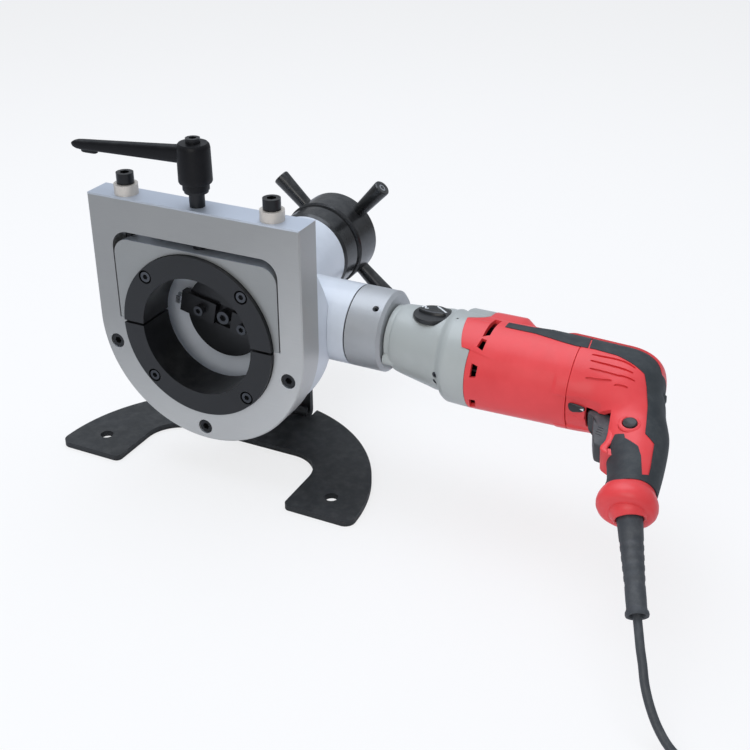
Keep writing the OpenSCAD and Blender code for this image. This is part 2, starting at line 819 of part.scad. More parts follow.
module feed_wheel() {
    r = drum_d / 2;
    color([0.08, 0.08, 0.09]) difference() {
        union() {
            along_y(drum_y) rotate_extrude($fn = 96)
                polygon([[0, 0], [r - 1.5, 0], [r, 1.5], [r, drum_len - 4], [r - 4, drum_len], [0, drum_len]]);
            along_y(feed_y - 15) cylinder(d = 66, h = 17);
        }
        along_y(feed_y - 20) cylinder(d = screw_d + 2 * run_gap, h = tail_y - feed_y + 22);
        at_spokes(r - 10) cylinder(d = 8 + 2 * screw_gap, h = 20);
    }
}

module at_spokes(r) {
    for (a = spoke_angles) translate([r * cos(a), spoke_y, r * sin(a)]) rotate([0, 90 - a, 0]) children();
}

module wheel_spokes() {
    root = drum_d / 2 + seat_gap;
    color([0.1, 0.1, 0.11]) difference() {
        at_spokes(0) {
            translate([0, 0, root - 9.8]) cylinder(d = 8, h = 12);
            translate([0, 0, root]) cylinder(d1 = spoke_root_d, d2 = spoke_end_d,
                                             h = spoke_reach - root - 1);
        }
        at_spokes(spoke_reach - 5) cylinder(d = 8.4, h = 10);
    }
}

module spoke_screws() {
    color("lightgray") at_spokes(spoke_reach - 4.8) difference() {
        cylinder(d = 8.2, h = 4.4);
        translate([0, 0, 2.5]) cylinder(d = 4.5, h = 4, $fn = 6);
    }
}

// Drive collar

module branch_seal() {
    color("black") along_x(branch_len + 0.1)
        tube(branch_d / 2 - 0.8, spigot_d / 2 + screw_gap, seal_t - 0.2);
}

module at_collar_screws() {
    for (a = [35.5, 155.5, 275.5]) translate([collar_end - 10, branch_y, 0])
        rotate([a, 0, 0]) translate([0, 0, drill_neck_d / 2 + seat_gap]) children();
}

module drive_collar() {
    r = branch_d / 2;
    color("silver") difference() {
        along_x(collar_x) rotate_extrude($fn = 96)
            polygon([[drill_neck_d / 2 + screw_gap, 0], [r, 0], [r, collar_end - collar_x - 3],
                     [r - 3, collar_end - collar_x], [drill_neck_d / 2 + screw_gap, collar_end - collar_x]]);
        along_x(collar_x - 1) cylinder(d = spigot_d + 2 * screw_gap, h = spigot_len + 1);
        at_collar_screws() cylinder(d = 6 + 2 * screw_gap, h = 40);
    }
}

module collar_screws() {
    color("dimgray") at_collar_screws() difference() {
        cylinder(d = 6, h = 14);
        translate([0, 0, 11]) cylinder(d = 3.4, h = 5, $fn = 6);
    }
}

// Drill

// A thin round slice of the drill's body at x, its centre s below the spindle axis
module slice(x, s, r) { translate([x, 0, -s]) rotate([0, 90, 0]) cylinder(r = r, h = 1, $fn = 32); }

module gear_case() {
    color([0.66, 0.7, 0.73]) in_drill() difference() {
        union() {
            drill_bar(neck_x, face_x - neck_x + 2, drill_neck_d / 2);
            hull() {
                slice(face_x, 3, 28);
                slice(face_x + 4, 5, 31);
                slice(knob_x + 5, 8, 36);
            }
            hull() {
                slice(knob_x + 5, 8, 36);
                slice(red_x - 12, 9, 40);
            }
            hull() {
                slice(red_x - 11, 10, 40.5);
                slice(red_x - 1.2, motor_drop - 3, motor_front_r);
            }
            for (a = case_screw_angles) rotate([a, 0, 0])
                drill_bar(face_x + 0.5, 36, 6, -lug_r);
            translate([red_x - 7, -23, 0]) cube([joint_x - red_x + 12, 46, 31]);
            drill_bar(red_x - 4, joint_x - red_x + 10, motor_front_r, motor_drop);
        }
        drill_bar(joint_x - seat_gap, 30, 60, motor_drop);
        drill_bar(red_x + 1, 30, motor_bore_r, motor_drop);
        drill_bar(neck_x - 1, 60, 8.6);
        drill_bar(face_x + 12, 20, 16);
        drill_bar(face_x + 30, red_x - face_x - 44, 18, 3);
        drill_bar(gear_x + 11, 14, 4.3, motor_drop);
        drill_bar(red_x - 12, 20, 20, motor_drop);
        at_case_screws() screw_hole(5, 26, 4.6, 8);
        rotate([drill_roll, 0, 0]) translate([knob_x, -knob_back, 0]) {
            translate([0, 0, knob_rise - 15.4]) cylinder(r = 7 + run_gap, h = 40);
            translate([0, 0, knob_rise - 5.4]) cylinder(d = knob_d + 1, h = 30);
        }
    }
}

module at_case_screws() {
    for (a = case_screw_angles) rotate([a, 0, 0])
        translate([face_x + 5, 0, lug_r]) rotate([0, 90, 0]) children();
}

module gear_case_screws() {
    color("dimgray") in_drill() at_case_screws() cap_screw(5, 26);
}

// The knob's axis stands upright, in front of the drive axis
module speed_knob() {
    color([0.07, 0.07, 0.08]) translate([knob_x, branch_y - knob_back, knob_rise]) {
        translate([0, 0, -15]) cylinder(r = 7, h = 11);
        translate([0, 0, -5]) cylinder(d = knob_d, h = 5);
        hull() for (side = [-1, 1]) translate([side * (knob_d / 2 - 4), 0, -1])
            cylinder(r = 3.5, h = 4, $fn = 32);
    }
}

// The motor housing's outside, larger by grow
module motor_cone(grow) {
    translate([joint_x, 0, -motor_drop]) rotate([0, 90, 0])
        cylinder(r1 = motor_front_r + grow, r2 = motor_rear_r + grow, h = seam_x - joint_x, $fn = 96);
}

module motor_housing() {
    color([0.84, 0.3, 0.33]) in_drill() difference() {
        union() {
            difference() {
                motor_cone(0);
                drill_bar(seam_x - 0.5, 10, 50, motor_drop);
            }
            hull() {
                translate([joint_x, -23, 0]) cube([29, 46, 26]);
                translate([red_x + 50, -21, 0]) cube([6, 42, 21]);
            }
        }
        drill_bar(0, seam_x + 9, motor_bore_r, motor_drop);
        motor_vents();
    }
}

// Cooling slots in front of the fan, on both flanks
module motor_vents() {
    for (flank = [0, 1], a = [14, -22, -58]) mirror([0, flank, 0])
        translate([red_x + 22, 0, -motor_drop]) rotate([a, 0, 0])
            translate([0, -50, -5.5]) cube([5.5, 20, 11]);
}

module motor_field() {
    color("brown") in_drill() translate([red_x + 30, 0, -motor_drop]) rotate([0, 90, 0])
        tube(field_r, armature_r + 1.5, 58);
}

module motor_armature() {
    color("peru") in_drill() {
        drill_bar(gear_x + 10, seam_x + 52 - gear_x - 10, 4, motor_drop);
        translate([gear_x, 0, -motor_drop]) rotate([0, 90, 0]) rotate(180 / spur_teeth)
            linear_extrude(11) spur(spur_teeth, spur_m, 0.9, 0.5, 0.5, 0.3);
        drill_bar(red_x + 30, 58, armature_r, motor_drop);
        drill_bar(red_x + 94, 22, 14, motor_drop);
    }
}

module cooling_fan() {
    color("dimgray") in_drill() translate([red_x + 16, 0, -motor_drop]) rotate([0, 90, 0])
        difference() {
            union() {
                cylinder(r = 34, h = 2);
                cylinder(r = 9, h = 11);
                for (i = [0 : 11]) rotate(30 * i) translate([8, -0.8, 1]) cube([25, 1.6, 9]);
            }
            translate([0, 0, -1]) cylinder(r = 4 + screw_gap, h = 14);
        }
}

module brushes() {
    color("dimgray") in_drill() for (flank = [-1, 1])
        translate([red_x + 100, flank * 23.3 - 9, -motor_drop - 3]) cube([8, 18, 6]);
}

// The spindle's front bearing and the armature's two
module drill_bearings() {
    color("lightgray") in_drill() {
        translate([face_x + 12.5, 0, 0]) rotate([0, 90, 0]) tube(16 - run_gap, 8 + run_gap, 12);
        translate([red_x - 11.5, 0, -motor_drop]) rotate([0, 90, 0]) tube(19.9, 4 + run_gap, 8);
        translate([seam_x + 44, 0, -motor_drop]) rotate([0, 90, 0]) tube(19.9, 4 + run_gap, 8);
    }
}

// Handle: an outline in stations down the grip, each an oval of fore and side radii
module grip_slice(x, s, fore, side, grow) {
    translate([x, 0, -s]) scale([fore + grow, side + grow, 1]) cylinder(r = 1, h = 1, $fn = 32);
}

module handle_form(grow) {
    hull() {
        slice(seam_x + 0.5, motor_drop, motor_rear_r + grow);
        slice(seam_x + 44, motor_drop, motor_rear_r - 2 + grow);
        slice(seam_x + 58, motor_drop - 2, 30 + grow);
        slice(seam_x + 67 + grow / 2, motor_drop - 5, 17 + grow);
    }
    hull() {
        grip_slice(grip_x - 31, 36, 36, 30, grow);
        grip_slice(grip_x - 14.5, 60, 30.5, 21, grow);
    }
    hull() {
        grip_slice(grip_x - 14.5, 60, 30.5, 21, grow);
        grip_slice(grip_x - 5.5, 85, 25.5, 19.5, grow);
    }
    hull() {
        grip_slice(grip_x - 5.5, 85, 25.5, 19.5, grow);
        grip_slice(grip_x - 0.5, 105, 22.5, 20, grow);
        grip_slice(grip_x + 1, 122, 20, 20, grow);
    }
}

module grip_flare() {
    hull() {
        grip_slice(grip_x - 1, 121, 21.5, 21, 0);
        grip_slice(grip_x - 2, 128, 23.5, 22.5, 0);
        translate([grip_x - 4, 0, -143]) rotate([0, -14, 0]) scale([21.5, 21, 1])
            cylinder(r = 1, h = 1, $fn = 32);
        translate([grip_x - 4, 0, -152]) rotate([0, -14, 0]) scale([14, 15, 1])
            cylinder(r = 1, h = 1, $fn = 32);
    }
}

// One half of the handle's clamshell; side is -1 on the left and 1 on the right
module handle_half(side) {
    difference() {
        intersection() {
            union() {
                handle_form(0);
                grip_flare();
            }
            translate([seam_x, side > 0 ? 0.1 : -100.1, -200]) cube([200, 100, 300]);
        }
        drill_bar(seam_x - 1, 38, 34.8, motor_drop);
        drill_bar(seam_x + 36, 17, 20, motor_drop);
        trigger_pocket();
        at_handle_screws() cylinder(r = 2.1, h = 60, center = true);
        translate([seam_x + 14, 0, -60]) cylinder(r = lever_pin_r + run_gap, h = 20);
        boot_socket();
        if (side < 0) translate([grip_x - 17, 0, -67]) rotate([90, 0, 0]) cylinder(r = 6 + run_gap, h = 40);
    }
}

// Room for the trigger and the switch, with a slot below for the trigger's tip
module trigger_pocket() {
    translate([grip_x - 60, -11.5, -101]) cube([70, 23, 46]);
    translate([grip_x - 60, -11.5, -110]) cube([42, 23, 10]);
}

module at_handle_screws() {
    for (p = [[grip_x - 2, 112], [grip_x + 2, 45], [grip_x - 11, 18]])
        translate([p[0], 0, -p[1]]) rotate([90, 0, 0]) children();
}

module handle_left() {
    color([0.84, 0.3, 0.33]) in_drill() {
        handle_half(-1);
    }
}

module handle_right() { color([0.82, 0.28, 0.31]) in_drill() handle_half(1); }

module handle_screws() {
    color("dimgray") in_drill() at_handle_screws() cylinder(r = 2, h = 26, center = true);
}

module spine_overmold() {
    color([0.25, 0.27, 0.3]) in_drill() {
        difference() {
            translate([red_x + 60, 0, -motor_drop]) rotate([0, 90, 0])
                cylinder(r = motor_rear_r + 4, h = motor_len - 63);
            motor_cone(seat_gap);
            translate([red_x, -60, -100]) cube([motor_len, 120, 92]);
        }
    }
}

module grip_overmold() {
    color([0.25, 0.27, 0.3]) in_drill() difference() {
        intersection() {
            handle_form(3);
            union() {
                translate([seam_x + 4, -60, 0 - 2]) cube([90, 120, 60]);
                translate([0, 60, 0]) rotate([90, 0, 0]) linear_extrude(120)
                    polygon([[grip_x - 18, -4], [grip_x + 30, 0], [grip_x + 30, -120],
                             [grip_x - 24, -120], [grip_x - 24, -84], [grip_x - 14, -84],
                             [grip_x - 2, -118], [grip_x + 8, -118], [grip_x + 6, -78], [grip_x - 2, -50]]);
            }
        }
        handle_form(0.2);
        trigger_pocket();
    }
}

module switch_body() {
    color("black") in_drill() {
        translate([grip_x - 24.4 + trigger_travel, -9.2, -96]) cube([32 - trigger_travel, 18.4, 34]);
        translate([grip_x - 8.4, -11.3, -96]) cube([16, 22.6, 34]);
    }
}

module trigger() {
    color([0.2, 0.21, 0.23]) in_drill() translate([0, 11, 0]) rotate([90, 0, 0]) linear_extrude(22)
        difference() {
            hull() {
                translate([grip_x - 49, -65]) circle(5, $fn = 32);
                translate([grip_x - 33, -103]) circle(4.5, $fn = 32);
                translate([grip_x - 30, -63]) circle(3, $fn = 32);
                translate([grip_x - 27, -92]) circle(2, $fn = 32);
            }
            translate([grip_x - 72, -92]) circle(31);
        }
}

module lock_button() {
    color("black") in_drill() translate([grip_x - 17, -11.5 - lock_travel, -67])
        rotate([90, 0, 0]) cylinder(r = 6, h = 12.5 - lock_travel);
}

module direction_lever() {
    color("black") in_drill() translate([seam_x + 14, 0, -motor_drop - motor_rear_r - 2]) {
        translate([0, 0, -3]) cylinder(r = 8, h = 4);
        cylinder(r = lever_pin_r, h = 7);
        hull() for (side = [-1, 1]) translate([-5, side * 10, -3]) cylinder(r = 4, h = 4, $fn = 32);
    }
}

// Cord, boot and plug

// Turns +Z into a direction
module aim(dir) {
    rotate([0, acos(dir[2] / norm(dir)), atan2(dir[1], dir[0])]) children();
}

module boot_socket() {
    rotate([drill_roll, 0, 0]) translate([0, -branch_y, 0]) translate(boot_root) aim(boot_dir)
        cylinder(r = 10.6, h = 60);
}

module cord_boot() {
    color([0.16, 0.17, 0.19]) translate(boot_root) aim(boot_dir) difference() {
        rotate_extrude()
            polygon([[0, 8], [10.2, 8], [8.6, 50], [7.8, boot_len - 6], [9, boot_len - 3],
                     [8.6, boot_len], [0, boot_len]]);
        translate([0, 0, boot_len - 8]) cylinder(d = cord_d + 1, h = 10);
    }
}

function unit(v) = v / norm(v);

// The ring of points round point i of a path, in planes that turn with the path's direction
function ring(path, i, r, sides) =
    let (
        ahead = path[min(i + 1, len(path) - 1)],
        back = path[max(i - 1, 0)],
        dir = unit(ahead - back),
        across = unit(cross(dir, abs(dir[2]) > 0.9 ? [1, 0, 0] : [0, 0, 1])),
        up = cross(across, dir)
    )
    [for (k = [0 : sides - 1]) path[i] + r * (cos(360 * k / sides) * across + sin(360 * k / sides) * up)];

// A tube along a path: rings of points, joined by triangles, with flat ends
module swept(path, r, sides) {
    rings = len(path);
    points = [for (i = [0 : rings - 1]) each ring(path, i, r, sides)];
    middles = [path[0], path[rings - 1]];
    walls = [for (i = [0 : rings - 2], k = [0 : sides - 1])
        let (a = i * sides + k, b = i * sides + (k + 1) % sides)
            each [[a, a + sides, b], [b, a + sides, b + sides]]];
    start_cap = [for (k = [0 : sides - 1]) [rings * sides, k, (k + 1) % sides]];
    last = (rings - 1) * sides;
    end_cap = [for (k = [0 : sides - 1]) [rings * sides + 1, last + (k + 1) % sides, last + k]];
    polyhedron(concat(points, middles), concat(walls, start_cap, end_cap));
}

// Points between a hand-chosen path's points, on a smooth curve through them
function between(a, b, c, d, t) =
    0.5 * (2 * b + (c - a) * t + (2 * a - 5 * b + 4 * c - d) * t * t
           + (3 * b - a - 3 * c + d) * t * t * t);

function smooth(path, steps) =
    let (n = len(path) - 1)
    [for (i = [0 : n - 1], k = [0 : steps - 1])
        between(path[max(i - 1, 0)], path[i], path[i + 1], path[min(i + 2, n)], k / steps),
     path[n]];

// The coil: the radius falls and grows by one pitch a turn, and each reversal climbs one layer
function coil_radius(t) =
    let (layer = floor(t / coil_turns), part = t - layer * coil_turns)
    layer % 2 == 0 ? coil_out - coil_pitch * part : coil_in + coil_pitch * part;

function coil_climb(t) =
    let (near = round(t / coil_turns), off = t - near * coil_turns)
    near < 1 ? 0 : near > coil_layers - 1 ? (coil_layers - 1) * layer_h
        : (near - 1) * layer_h + layer_h * min(1, max(0, (off + 0.25) * 2));

function coil_point(t) =
    [coil_centre[0] + coil_radius(t) * sin(360 * t), coil_centre[1] - coil_radius(t) * cos(360 * t),
     coil_low + coil_climb(t)];

coil_rings = 24;
coil_path = concat(
    [[start_x, start_y, coil_low]],
    [for (i = [0 : coil_rings * coil_turns * coil_layers]) coil_point(i / coil_rings)],
    [[end_x, start_y, coil_high]]
);

// Length of a path, and the least gap between the coil's strands a fifth of a turn or more apart
function path_len(p, i = 1) = i >= len(p) ? 0 : norm(p[i] - p[i - 1]) + path_len(p, i + 1);

function coil_gap() =
    min([for (i = [0 : 2 : len(coil_path) - 1], j = [i + 5 : len(coil_path) - 1])
        if (j - i > coil_rings * 0.6) norm(coil_path[i] - coil_path[j])]) - cord_d;

module cord_lead() {
    color([0.15, 0.16, 0.18]) swept(smooth(lead_path, 3), cord_d / 2, 8);
}

module cord_coil() {
    echo(coil_gap = coil_gap(), coil_length = path_len(coil_path), lead = path_len(lead_path),
         tail = path_len(tail_path));
    color([0.15, 0.16, 0.18]) swept(coil_path, cord_d / 2, 6);
}

module cord_tail() {
    color([0.15, 0.16, 0.18]) swept(smooth(tail_path, 3), cord_d / 2, 8);
}

// A strap round the coil's section, under it and over it
module cord_tie() {
    wall = 1;
    gap = 0.4;
    inside = coil_in - cord_d / 2 - gap - coil_pitch / 4;
    outside = coil_out + cord_d / 2 + gap + coil_pitch / 4;
    low = floor_z + 0.1;
    high = coil_high + cord_d / 2 + gap + wall;
    color("dimgray") translate([coil_centre[0], coil_centre[1], 0]) rotate([0, 0, 225])
        rotate([90, 0, 0]) linear_extrude(12, center = true) difference() {
            translate([inside - wall, low]) square([outside - inside + 2 * wall, high - low]);
            translate([inside, low + wall]) square([outside - inside, high - low - 2 * wall]);
        }
}

module cord_plug() {
    color([0.14, 0.15, 0.16]) translate(plug_face) rotate([0, 90, plug_turn]) {
        rotate_extrude() polygon([[0, 0], [5, 0], [6.5, 9], [12, 14], [13.2, 20], [13.2, 38], [12, 42],
                                  [0, 42]]);
        for (side = [-1, 1]) translate([0, side * 9, 41]) cylinder(d = 4.8, h = 20);
    }
}

clamp_plate();
plate_screws();
lower_collet();
lower_collet_screws();
guide_bushes();
upper_jaw();
upper_collet();
upper_collet_screws();
guide_screws();
clamp_screw();
clamp_lever();
lever_cap_screw();
chamber_ring();
gear_housing();
bearing_cover();
gear_bearings();
housing_screws();
stand();
crown_gear();
drive_pinion();
drive_shaft();
drill_spindle();
main_spindle();
cutter_head();
tool_holders();
tool_bits();
tool_screws();
feed_quill();
quill_bearing();
feed_flange();
feed_wheel();
wheel_spokes();
spoke_screws();
branch_seal();
drive_collar();
collar_screws();
gear_case();
gear_case_screws();
motor_housing();
motor_field();
motor_armature();
cooling_fan();
brushes();
drill_bearings();
handle_left();
handle_right();
handle_screws();
spine_overmold();
grip_overmold();
switch_body();
trigger();
lock_button();
direction_lever();
speed_knob();
cord_boot();
cord_lead();
cord_coil();
cord_tail();
cord_tie();
cord_plug();
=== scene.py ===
"""Looks of the pipe end facing machine: surfaces, finishes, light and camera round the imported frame.

Lengths in this file are millimetres in the frame of the CAD, and become metres where a mesh is made.
"""
from __future__ import annotations

import logging
import math
from collections.abc import Callable, Sequence
from dataclasses import dataclass, field
from enum import Enum

import bmesh
import bpy
import numpy as np
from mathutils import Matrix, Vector

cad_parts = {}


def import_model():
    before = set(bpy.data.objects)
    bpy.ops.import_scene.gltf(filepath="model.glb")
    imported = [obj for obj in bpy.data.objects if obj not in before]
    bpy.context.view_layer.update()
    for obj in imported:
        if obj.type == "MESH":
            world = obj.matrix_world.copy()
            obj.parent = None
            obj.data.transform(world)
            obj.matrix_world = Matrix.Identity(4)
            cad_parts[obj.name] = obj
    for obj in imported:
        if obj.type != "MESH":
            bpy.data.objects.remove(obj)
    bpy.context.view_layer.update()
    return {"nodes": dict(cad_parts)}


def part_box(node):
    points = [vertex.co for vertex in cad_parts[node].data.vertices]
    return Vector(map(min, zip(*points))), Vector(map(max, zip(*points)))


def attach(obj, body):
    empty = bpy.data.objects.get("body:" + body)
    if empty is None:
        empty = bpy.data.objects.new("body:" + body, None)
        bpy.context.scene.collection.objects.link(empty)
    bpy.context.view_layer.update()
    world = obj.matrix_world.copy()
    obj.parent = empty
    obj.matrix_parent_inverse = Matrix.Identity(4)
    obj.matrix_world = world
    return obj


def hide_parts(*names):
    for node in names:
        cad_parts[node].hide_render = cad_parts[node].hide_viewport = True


LOG = logging.getLogger("facing_machine")
MM = 0.001
# colour of the painted sky reflection on faces that look up
PAINTED_SKY_TONE = (214, 224, 240)
DUST_TONE = (186, 184, 178)
FLOOR_Z = -152.0
# how far the studio's floor lies below the object's, against flicker
FLOOR_GAP = 0.3
# where the strain relief starts and where it points
BOOT_ROOT = (418.0, -41.0, -34.5)
BOOT_WAY = (0.34, -0.78, -0.525)
Array = np.ndarray
Form = tuple[Array, Sequence[Sequence[int]]]


# ---------------------------------------------------------------- colours and finishes


def linear(red: float, green: float, blue: float) -> tuple[float, float, float, float]:
    """Turn display values from 0 to 255 into a linear colour.

    Args:
        red: Red share.
        green: Green share.
        blue: Blue share.

    Returns:
        Red, green, blue and full alpha.
    """
    values = [v / 255 for v in (red, green, blue)]
    r, g, b = (v / 12.92 if v <= 0.04045 else ((v + 0.055) / 1.055) ** 2.4 for v in values)
    return r, g, b, 1.0


def feed(tree: bpy.types.NodeTree, socket: object, value: object) -> None:
    """Give a socket a number, a colour as a tuple of display values, or what another socket puts out.

    Args:
        tree: The node tree.
        socket: The input that is fed.
        value: A number, a tuple of display values, or an output.
    """
    if isinstance(value, bpy.types.NodeSocket):
        tree.links.new(value, socket)
    else:
        socket.default_value = linear(*value) if isinstance(value, tuple) else value


class Pattern(Enum):
    """The fine structure of a finish."""

    GRAIN = "grain"
    BRUSHED = "brushed"
    TURNED_X = "turned along x"
    TURNED_Y = "turned along y"
    TURNED_Z = "turned along z"


@dataclass(frozen=True)
class Finish:
    """One material: two tones, gloss, and the pattern that varies them.

    Sizes are in millimetres and tones are display values. A fade (along x, along z, from, to, gain) makes
    the tone lighter over a length, as a painted shading gradient; sky mixes a painted sky reflection into
    faces that look up; and glow is painted light, an emission that lifts a shaded hollow.
    """

    name: str
    tone: tuple[float, float, float]
    second: tuple[float, float, float]
    rough: float
    rough_swing: float = 0.1
    metallic: float = 0.0
    pattern: Pattern = Pattern.GRAIN
    size: float = 0.8
    height: float = 0.03
    centre: tuple[float, float, float] = (0.0, 0.0, 0.0)
    coat: float = 0.0
    dust: float = 0.12
    scuffs: float = 0.25
    specular: float = 0.5
    # painted light: a lightening over a length, a painted sky reflection on faces that look up, and a painted
    # glow
    fade: tuple[float, float, float, float, float] = (1.0, 0.0, 0.0, 1.0, 1.0)
    sky: float = 0.0
    glow: float = 0.0


class Groups:
    """Shader node groups that several finishes share, each made once."""

    def __init__(self) -> None:
        """Make every group."""
        self.grain = self._grain()
        self.brushed = self._brushed()
        self.turned = self._turned()
        self.scuffs = self._scuffs()
        self.dust = self._dust()
        self.around = self._painted_light()

    @staticmethod
    def _start(name: str, vectors: str, numbers: str,
               outputs: str) -> tuple[bpy.types.NodeTree, object, object]:
        """Make an empty group.

        Args:
            name: Name of the group.
            vectors: Names of its vector inputs, parted by blanks.
            numbers: Names of its number inputs, parted by blanks.
            outputs: Names of its outputs, which are all numbers.

        Returns:
            The new node tree, the sockets that its inputs come from, and those that its outputs go to.
        """
        tree = bpy.data.node_groups.new(name, "ShaderNodeTree")
        for labels, way, kind in ((vectors, "INPUT", "NodeSocketVector"),
                                  (numbers, "INPUT", "NodeSocketFloat"),
                                  (outputs, "OUTPUT", "NodeSocketFloat")):
            for label in labels.split():
                tree.interface.new_socket(name=label, in_out=way, socket_type=kind)
        given = tree.nodes.new("NodeGroupInput")
        out = tree.nodes.new("NodeGroupOutput")
        return tree, given.outputs, out.inputs

    @staticmethod
    def _noise(tree: bpy.types.NodeTree, vector: object, scale: object, detail: float = 3.0,
               rough: float = 0.55) -> object:
        """Add a noise texture whose scale is a number or a socket, and return its value.

        Args:
            tree: The node tree that it goes into.
            vector: Socket with the place.
            scale: A number or a socket.
            detail: Octaves.
            rough: Share of the finer octaves.

        Returns:
            The socket with the value.
        """
        node = tree.nodes.new("ShaderNodeTexNoise")
        node.inputs["Detail"].default_value = detail
        node.inputs["Roughness"].default_value = rough
        feed(tree, node.inputs["Vector"], vector)
        feed(tree, node.inputs["Scale"], scale)
        return node.outputs["Fac"]

    @staticmethod
    def math(tree: bpy.types.NodeTree, kind: str, *values: object, clamp: bool = False) -> object:
        """Add a math node fed by numbers or sockets, and return its value.

        Args:
            tree: The node tree that it goes into.
            kind: The operation.
            values: Numbers or sockets, in order.
            clamp: Whether the result is held between 0 and 1.

        Returns:
            The socket with the value.
        """
        node = tree.nodes.new("ShaderNodeMath")
        node.operation = kind
        node.use_clamp = clamp
        for socket, value in zip(node.inputs, values):
            feed(tree, socket, value)
        return node.outputs[0]

    @staticmethod
    def ramp(tree: bpy.types.NodeTree, value: object, low: float, high: float, out_low: float = 0.0,
             out_high: float = 1.0) -> object:
        """Add a smooth map range from low..high to out_low..out_high, and return its value.

        Args:
            tree: The node tree that it goes into.
            value: The socket that is mapped.
            low: Value that gives out_low.
            high: Value that gives out_high.
            out_low: Result at low.
            out_high: Result at high.

        Returns:
            The socket with the result.
        """
        node = tree.nodes.new("ShaderNodeMapRange")
        node.interpolation_type = "SMOOTHSTEP"
        for label, number in (("From Min", low), ("From Max", high), ("To Min", out_low),
                              ("To Max", out_high)):
            node.inputs[label].default_value = number
        tree.links.new(value, node.inputs["Value"])
        return node.outputs["Result"]

    @staticmethod
    def blend(tree: bpy.types.NodeTree, share: object, *colours: object) -> object:
        """Mix two colours, each display values or a socket, by a share, and return the result.

        Args:
            tree: The node tree that it goes into.
            share: Socket with the share of the second colour.
            colours: The two colours.

        Returns:
            The socket with the mixed colour.
        """
        node = tree.nodes.new("ShaderNodeMix")
        node.data_type = "RGBA"
        for label, value in (("A", colours[0]), ("B", colours[1]), ("Factor", share)):
            feed(tree, node.inputs[label], value)
        return node.outputs["Result"]

    def _grain(self) -> bpy.types.NodeTree:
        """Moulded or cast grain: two noises of different size, and a slow mottling for the tone.

        Returns:
            The group.
        """
        tree, given, out = self._start("Fine grain", "Vector", "Scale", "Height Tone")
        fine = self._noise(tree, given["Vector"], given["Scale"], 2.0)
        half = self.math(tree, "MULTIPLY", given["Scale"], 0.33)
        coarse = self._noise(tree, given["Vector"], half, 2.0)
        height = self.math(tree, "MULTIPLY_ADD", fine, 0.65, self.math(tree, "MULTIPLY", coarse, 0.35))
        tree.links.new(height, out["Height"])
        slow = self._noise(tree, given["Vector"], 22.0, 4.0)
        tree.links.new(self.ramp(tree, slow, 0.35, 0.68), out["Tone"])
        return tree

    def _brushed(self) -> bpy.types.NodeTree:
        """Straight fine lines along x on a milled face, with slow bands of tone.

        Returns:
            The group.
        """
        tree, given, out = self._start("Brushed lines", "Vector", "Scale", "Height Tone")
        stretch = tree.nodes.new("ShaderNodeVectorMath")
        stretch.operation = "MULTIPLY"
        stretch.inputs[1].default_value = (0.012, 1.0, 1.0)
        tree.links.new(given["Vector"], stretch.inputs[0])
        lines = self._noise(tree, stretch.outputs[0], given["Scale"], 4.0, 0.7)
        tree.links.new(lines, out["Height"])
        slow = self._noise(tree, given["Vector"], 9.0, 3.0)
        tone = self.math(tree, "MULTIPLY_ADD", lines, 0.45, self.math(tree, "MULTIPLY", slow, 0.55))
        tree.links.new(self.ramp(tree, tone, 0.3, 0.7), out["Tone"])
        return tree

    def _turned(self) -> bpy.types.NodeTree:
        """Lathe rings: one noise over distance from the z axis plus height along it.

        Returns:
            The group.
        """
        tree, given, out = self._start("Turned rings", "Vector", "Scale", "Height Tone")
        split = tree.nodes.new("ShaderNodeSeparateXYZ")
        tree.links.new(given["Vector"], split.inputs[0])
        square = self.math(tree, "MULTIPLY_ADD", split.outputs[0], split.outputs[0],
                           self.math(tree, "MULTIPLY", split.outputs[1], split.outputs[1]))
        along = self.math(tree, "ADD", self.math(tree, "SQRT", square), split.outputs[2])
        rings = tree.nodes.new("ShaderNodeTexNoise")
        rings.noise_dimensions = "1D"
        rings.inputs["Detail"].default_value = 4.0
        tree.links.new(self.math(tree, "MULTIPLY", along, given["Scale"]), rings.inputs["W"])
        tree.links.new(rings.outputs["Fac"], out["Height"])
        slow = self._noise(tree, given["Vector"], 30.0, 3.0)
        tone = self.math(tree, "MULTIPLY_ADD", rings.outputs["Fac"], 0.5,
                         self.math(tree, "MULTIPLY", slow, 0.5))
        tree.links.new(self.ramp(tree, tone, 0.35, 0.66), out["Tone"])
        return tree

    def _scuffs(self) -> bpy.types.NodeTree:
        """Sparse thin marks: the narrow band where a stretched noise crosses its middle.

        Returns:
            The group.
        """
        tree, given, out = self._start("Scuff marks", "Vector", "Amount", "Mask")
        turn = tree.nodes.new("ShaderNodeMapping")
        turn.inputs["Rotation"].default_value = (0.6, 0.4, 0.9)
        turn.inputs["Scale"].default_value = (60.0, 420.0, 160.0)
        tree.links.new(given["Vector"], turn.inputs["Vector"])
        lines = self._noise(tree, turn.outputs[0], 1.0, 2.0)
        off = self.math(tree, "ABSOLUTE", self.math(tree, "SUBTRACT", lines, 0.5))
        thin = self.ramp(tree, off, 0.0, 0.012, 1.0, 0.0)
        where = self.ramp(tree, self._noise(tree, given["Vector"], 35.0, 2.0), 0.55, 0.7)
        mask = self.math(tree, "MULTIPLY", thin, where)
        tree.links.new(self.math(tree, "MULTIPLY", mask, given["Amount"], clamp=True), out["Mask"])
        return tree

    def _dust(self) -> bpy.types.NodeTree:
        """Dust on faces that look up, broken up by noise.

        Returns:
            The group.
        """
        tree, given, out = self._start("Settled dust", "Vector Normal", "Amount", "Mask")
        split = tree.nodes.new("ShaderNodeSeparateXYZ")
        tree.links.new(given["Normal"], split.inputs[0])
        up = self.ramp(tree, split.outputs[2], 0.1, 1.0)
        patch = self.ramp(tree, self._noise(tree, given["Vector"], 90.0, 5.0, 0.7), 0.35, 0.75)
        mask = self.math(tree, "MULTIPLY", self.math(tree, "MULTIPLY", up, patch), given["Amount"],
                         clamp=True)
        tree.links.new(mask, out["Mask"])
        return tree

